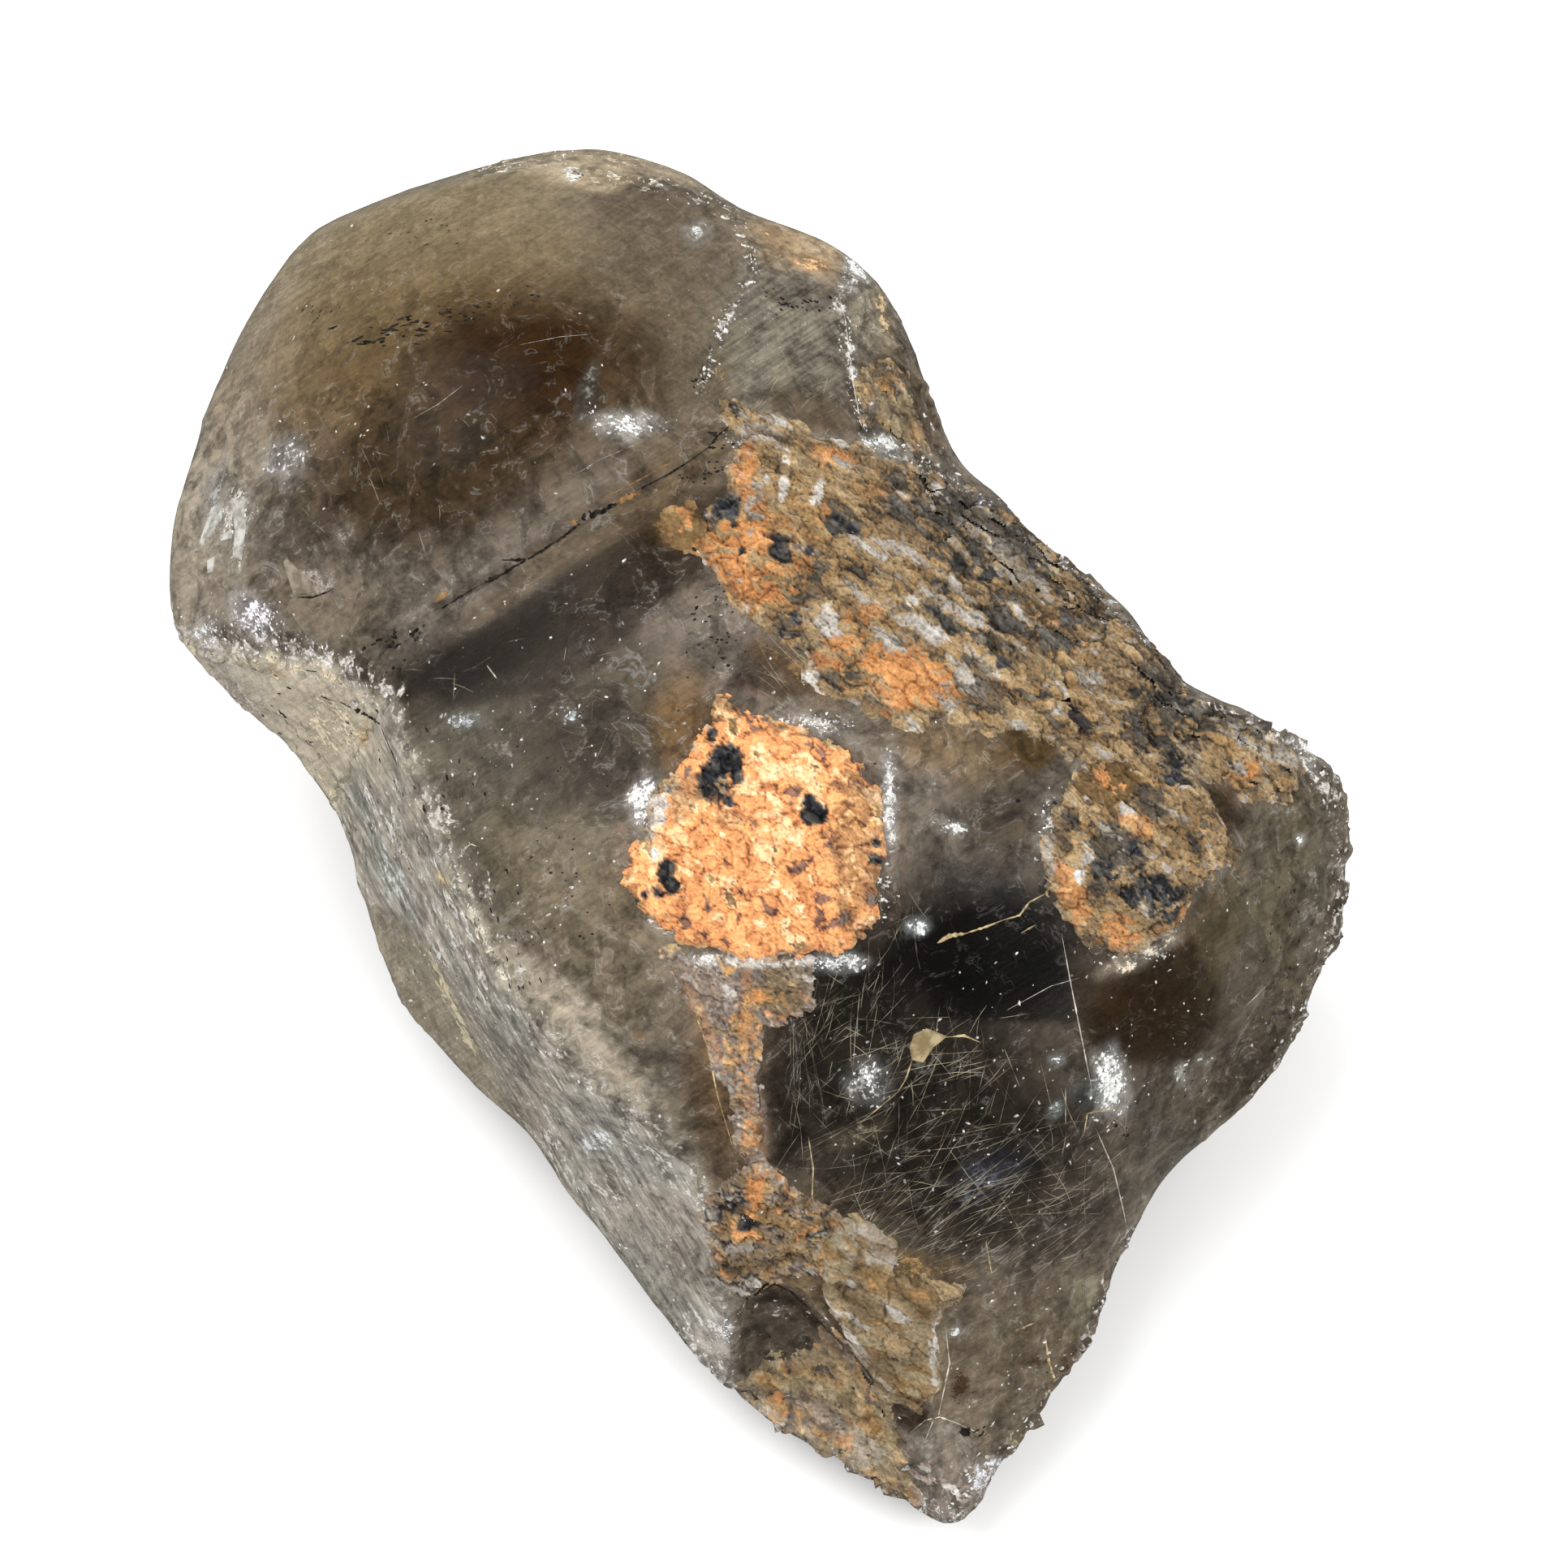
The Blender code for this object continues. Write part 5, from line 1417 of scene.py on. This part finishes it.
# Groups of dark specks: centre, half sizes, heading of the specks, smallest and largest
# half width, how stretched they are, how many.
SPECKS = [
    ((510, 404), (60, 11), 10, 1.6, 4.6, 3.4, 36), ((560, 388), (44, 13), 14, 1.4, 3.6, 2.8, 20),
    ((442, 420), (16, 3), 3, 3.0, 4.4, 4.0, 6), ((474, 421), (12, 4), 20, 2.6, 4.4, 2.0, 6),
    ((645, 365), (30, 10), -20, 1.5, 3.0, 2.0, 10), ((390, 390), (30, 18), 80, 1.0, 2.2, 3.0, 10),
    ((520, 285), (60, 22), 25, 1.0, 2.6, 2.4, 14), ((478, 792), (20, 10), 30, 2.0, 5.0, 1.5, 16),
    ((500, 820), (14, 14), 30, 1.6, 3.6, 1.4, 8), ((514, 780), (12, 12), 30, 2.0, 5.0, 1.3, 8),
    ((860, 755), (16, 16), 60, 1.6, 3.4, 1.8, 8), ((880, 800), (40, 40), 20, 1.4, 3.6, 1.6, 20),
    ((900, 740), (30, 20), 20, 1.2, 2.6, 1.6, 10), ((880, 580), (26, 10), 10, 2.0, 4.6, 1.4, 14),
    ((850, 590), (16, 8), 10, 1.4, 3.4, 1.4, 8), ((895, 545), (22, 14), 40, 2.0, 5.0, 1.5, 14),
    ((862, 470), (14, 8), 10, 1.5, 3.6, 1.6, 10), ((985, 375), (34, 9), -8, 2.0, 5.0, 1.4, 26),
    ((945, 362), (14, 8), 0, 1.4, 3.0, 1.4, 8), ((700, 1060), (60, 70), 20, 1.2, 2.6, 1.5, 20),
    ((640, 1150), (60, 40), 20, 1.0, 2.2, 1.5, 10), ((720, 920), (90, 60), 10, 1.0, 2.4, 1.6, 16),
    ((1450, 1325), (70, 50), 10, 1.4, 3.0, 1.4, 10), ((1385, 1395), (10, 8), 10, 3.0, 6.0, 1.4, 4),
    ((1188, 1765), (2, 2), 10, 8.0, 9.5, 1.0, 2), ((1212, 1764), (8, 6), 40, 1.4, 2.6, 2.4, 7),
    ((1290, 1690), (2, 2), 0, 3.0, 4.0, 1.0, 1), ((712, 217), (8, 4), 10, 2.0, 4.0, 1.4, 5),
    ((480, 980), (90, 90), -60, 1.2, 3.0, 3.4, 40), ((600, 1180), (70, 110), -60, 1.2, 2.6, 3.2, 30),
    ((330, 880), (70, 40), -20, 1.5, 3.6, 2.6, 12), ((1250, 760), (110, 60), -30, 2.0, 5.0, 1.6, 60),
    ((1100, 650), (60, 50), -30, 1.6, 4.0, 1.5, 34), ((1370, 970), (70, 40), 10, 2.0, 5.0, 1.5, 26),
    ((1370, 1090), (60, 50), 10, 1.8, 4.4, 1.4, 26), ((975, 1700), (50, 60), -10, 1.5, 3.6, 1.6, 20),
    ((960, 1540), (60, 30), 0, 1.5, 3.6, 1.6, 22), ((1590, 1180), (30, 120), 80, 1.4, 3.4, 1.8, 24),
    ((940, 1000), (120, 130), 10, 1.0, 2.4, 1.5, 60),
]


def make_lines(tree, rng):
    """Scratches, healed cracks and the honey-coloured stretches of the vein."""
    for stuff, lines in (("pale", PALE_LINES), ("cream", CREAM_LINES), ("honey", HONEY_LINES)):
        bits = Bits(tree)
        for line, width in lines:
            bits.thread(line, width, lift=0.04, step=4.0, rng=rng)
        bits.make(stuff + "_lines", bit_material(stuff + "_thread"))


# Thin plates with sharp corners, by stuff: the corners of each in pixels.
PANES = {
    "pale": [
        [(284, 610), (302, 607), (304, 650), (298, 694), (287, 690), (290, 655)],
        [(262, 622), (278, 613), (274, 642), (250, 674), (243, 676)],
        [(270, 660), (287, 652), (286, 664), (272, 668)],
        [(256, 690), (266, 684), (263, 706), (256, 708)],
    ],
    "beige": [
        [(347, 690), (352, 684), (384, 718), (392, 732), (362, 737)],
        [(1253, 1778), (1270, 1762), (1276, 1778), (1262, 1800), (1250, 1800)],
    ],
    "cream": [
        [(1119, 1290), (1125, 1273), (1142, 1265), (1170, 1276), (1152, 1290), (1137, 1312), (1122, 1308)],
    ],
    "slate": [
        [(1155, 604), (1166, 600), (1188, 628), (1184, 642), (1172, 640)],
        [(1196, 690), (1212, 684), (1240, 706), (1230, 716), (1204, 708)],
        [(1246, 724), (1268, 730), (1290, 756), (1276, 760), (1252, 744)],
        [(1565, 944), (1584, 938), (1594, 956), (1584, 972), (1568, 968)],
    ],
}


def make_panes(tree):
    """Fracture planes that glint."""
    for stuff, panes in PANES.items():
        bits = Bits(tree)
        for corners in panes:
            bits.pane(corners)
        bits.make("panes_" + stuff, bit_material(stuff + "_pane"))


def make_dark(tree, rng):
    """The dark seams and specks of another mineral, and painted shadow lines under the ledges of the
    hollow and the shell.
    """
    bits = Bits(tree)
    for line, width in DARK_LINES:
        bits.thread(line, width, lift=0.05, step=3.5, rng=rng)
    for centre, halves, heading, least, most, stretch, count in SPECKS:
        for _ in range(count):
            x, y = around_place(centre, halves, lambda: rng.gauss(0, 0.55))
            turn = math.radians(heading + rng.gauss(0, 14))
            bits.flake_at(x, y, rng.uniform(least, most), 0.06, rng, corners=7,
                          stretch=stretch * rng.uniform(0.6, 1.2), turn=turn)
    bits.make("dark_specks_and_shadow", bit_material("dark_mineral_and_shadow"))


# Crushed flakes along the rims, which also stand for painted sparkles: how many for each line.
RIM_FLAKES = {
    "head_ledge": 260, "end_rim": 340, "toe_rim": 300, "shoulder_rim": 110,
    "shoulder_crest": 150, "back_rim": 90, "saddle_rim": 200, "flank_edge": 70,
}
# Clusters of crushed flakes, partly painted sparkles where the quartz flashes: centre, half sizes,
# how many.
FLAKE_SPOTS = [
    ((320, 765), (34, 24), 90), ((262, 780), (26, 22), 60), ((290, 640), (14, 40), 40),
    ((352, 562), (24, 26), 40), ((772, 522), (34, 12), 60), ((1370, 1330), (20, 40), 110),
    ((1072, 1332), (22, 24), 50), ((792, 985), (12, 26), 50), ((880, 1186), (34, 8), 60),
    ((1030, 1186), (40, 8), 60), ((1096, 985), (8, 60), 40), ((1055, 330), (16, 22), 40),
    ((573, 888), (24, 7), 26), ((702, 882), (14, 9), 20), ((885, 1640), (22, 26), 40),
    ((735, 1406), (18, 14), 24), ((1178, 1020), (16, 8), 18), ((1130, 1142), (10, 6), 14),
    ((1585, 925), (44, 18), 90), ((1520, 905), (40, 12), 50), ((1400, 1178), (56, 9), 50),
    ((1290, 1020), (12, 40), 40), ((1215, 1830), (22, 18), 50), ((1160, 1862), (36, 9), 50),
    ((1000, 888), (40, 9), 60), ((1092, 1090), (10, 40), 40), ((1150, 770), (36, 24), 60),
    ((975, 600), (14, 40), 50), ((905, 545), (20, 8), 20), ((1456, 1322), (10, 14), 12),
    ((1205, 625), (24, 8), 30), ((1095, 550), (34, 10), 30), ((480, 470), (240, 160), 60),
    ((700, 900), (300, 200), 120), ((1200, 1380), (180, 160), 130), ((1250, 1690), (110, 100), 60),
    ((1500, 1250), (140, 150), 70), ((1100, 700), (160, 140), 110), ((560, 1180), (110, 240), 160),
    ((800, 1540), (100, 120), 100), ((960, 1620), (90, 110), 70),
]


# Flashes, where flat breaks shine: white flakes, partly crushed white quartz and partly painted
# highlights. Centre, half sizes, heading, largest half width, how many.
FLASHES = [
    ((772, 523), (18, 7), 6, 7.0, 46), ((730, 500), (3, 18), 105, 3.0, 8),
    ((1366, 1328), (14, 22), 112, 6.5, 60), ((1372, 1352), (8, 14), 100, 5.0, 20),
    ((1070, 1330), (13, 18), 100, 5.0, 36), ((1302, 1305), (6, 4), 20, 4.0, 8),
    ((1130, 1142), (8, 4), 0, 4.0, 10), ((1178, 1020), (10, 5), 10, 4.4, 14),
    ((318, 760), (20, 12), 140, 5.0, 40), ((258, 778), (10, 12), 110, 4.4, 16),
    ((294, 640), (8, 26), 96, 5.5, 24), ((736, 1402), (10, 8), 30, 4.4, 12),
    ((786, 990), (6, 20), 100, 4.0, 24), ((1142, 766), (14, 16), 130, 4.4, 26),
    ((1080, 545), (14, 5), -30, 4.4, 16), ((1052, 326), (7, 8), 60, 4.0, 10),
    ((1095, 985), (6, 56), 92, 3.2, 34), ((1016, 894), (36, 6), 27, 3.4, 26),
    ((1050, 344), (7, 14), 80, 3.4, 14), ((1047, 420), (2, 30), 84, 3.4, 34),
    ((1058, 500), (2, 20), 80, 2.6, 16), ((888, 408), (5, 22), 118, 3.0, 22),
    ((926, 320), (6, 20), 70, 2.8, 10), ((876, 1186), (18, 4), 0, 4.4, 18),
    ((950, 1190), (40, 4), 0, 4.0, 30), ((1030, 1187), (22, 4), 0, 4.0, 18),
    ((1208, 1820), (16, 14), 60, 4.8, 40), ((1580, 922), (24, 8), -30, 4.0, 24),
    ((1602, 1035), (3, 4), 60, 4.4, 5), ((705, 215), (5, 4), 60, 4.0, 5),
    ((858, 284), (6, 6), 60, 4.0, 8), ((890, 1640), (9, 11), 60, 4.0, 12),
]


def make_flashes(tree, rng):
    """Bright flat breaks in clusters, partly painted highlights."""
    bits = Bits(tree)
    for centre, halves, heading, most, count in FLASHES:
        for _ in range(count):
            x, y = around_place(centre, halves, lambda: rng.gauss(0, 0.6))
            turn = math.radians(heading + rng.gauss(0, 16))
            bits.flake_at(x, y, rng.uniform(0.3, 1.0) * most / 1.8, rng.uniform(0.03, 0.08), rng,
                          corners=6, stretch=rng.uniform(1.2, 2.6), turn=turn)
    bits.make("flashes", bit_material("bright_break_and_glint"))


def make_flakes(tree, rng):
    """Crushed white quartz along the rims and in the flashes, its flakes partly painted sparkles."""
    bits = Bits(tree)
    for name, count in RIM_FLAKES.items():
        reach = RIMS[name][0] * 0.38
        for _ in range(count):
            x, y = around_place(along(LINES[name], rng.random()), (reach, reach),
                                lambda: rng.gauss(0, 1))
            bits.flake_at(x, y, rng.uniform(0.8, 1.85) ** 2, rng.uniform(0.03, 0.14), rng,
                          stretch=rng.uniform(1, 2.2))
    for centre, halves, count in FLAKE_SPOTS:
        for _ in range(count):
            x, y = around_place(centre, halves, lambda: rng.gauss(0, 0.6))
            bits.flake_at(x, y, rng.uniform(0.8, 3.0), rng.uniform(0.02, 0.1), rng,
                          stretch=rng.uniform(1, 2.2))
    bits.make("crushed_and_sparkle_flakes", bit_material("crushed_quartz_and_sparkle"))


# ---------------------------------------------------------------- making the lump

def make_skin():
    """Makes the lump itself, in place of its node, and gives back its skin to cast lines onto."""
    skin = Skin(NODE)
    sculpt(skin)
    paint_skin(skin)
    skin.mesh.shade_smooth()
    skin.mesh.materials.clear()
    skin.mesh.materials.append(quartz_material())
    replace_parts(keep_piece(skin.mesh, "quartz_skin"), NODE)
    return skin.tree()


# ---------------------------------------------------------------- stage

ROOM_LIGHT = 0.85
ROOM_LIGHT_MIRRORED = 0.09      # how bright the room looks in the lump's own shine


def make_floor():
    mesh = bpy.data.meshes.new("floor")
    shape = bmesh.new()
    bmesh.ops.create_grid(shape, x_segments=1, y_segments=1, size=1.5)
    shape.to_mesh(mesh)
    shape.free()
    paint = Painter("pale_floor")
    paint.set(base_color=(0.9, 0.9, 0.895), roughness=0.7, specular_ior_level=0.2)
    mesh.materials.append(paint.material)
    floor = link(bpy.data.objects.new("floor", mesh))
    floor.visible_glossy = False


def make_soft_box(name, place, width, power, aim=(0, 0, 0.03)):
    data = bpy.data.lights.new(name, "AREA")
    data.size = width
    data.energy = power
    lamp = link(bpy.data.objects.new(name, data))
    lamp.location = place
    lamp.rotation_euler = (Vector(aim) - Vector(place)).to_track_quat("-Z", "Y").to_euler()
    lamp.visible_glossy = False


def make_world():
    """A pale room that is dim in the lump's own shine."""
    world = bpy.data.worlds.new("studio")
    bpy.context.scene.world = world
    world.use_nodes = True
    tree = world.node_tree
    shine = add_node(tree, "LightPath", "Is Glossy Ray")
    sky = tree.nodes["Background"]
    sky.inputs["Color"].default_value = (1, 1, 1, 1)
    feed(tree, sky.inputs["Strength"], shine.ramp(0.0, 1.0, ROOM_LIGHT, ROOM_LIGHT_MIRRORED))


def make_camera():
    camera = link(bpy.data.objects.new("camera", bpy.data.cameras.new("camera")))
    camera.data.lens = LENS
    camera.data.sensor_width = SENSOR
    camera.data.clip_start = 0.01
    camera.location = Vector(CAMERA_PLACE) * MM
    camera.rotation_euler = Vector(-TO_CAMERA).to_track_quat("-Z", "Y").to_euler()
    bpy.context.scene.camera = camera


make_camera()
make_world()
make_floor()
make_soft_box("window", (-0.8, 0.4, 1.5), 1.4, 26.0)
make_soft_box("fill", (0.9, -0.3, 1.5), 1.4, 17.0)
bpy.context.scene.view_settings.view_transform = "Standard"

skin_tree = make_skin()
crust = crust_material()
for name in CRUSTS:
    make_crust(name, skin_tree, crust)
rng = random.Random(SEED)
make_needles(skin_tree, rng)
make_lines(skin_tree, rng)
make_panes(skin_tree)
make_dark(skin_tree, rng)
make_flakes(skin_tree, rng)
make_flashes(skin_tree, rng)
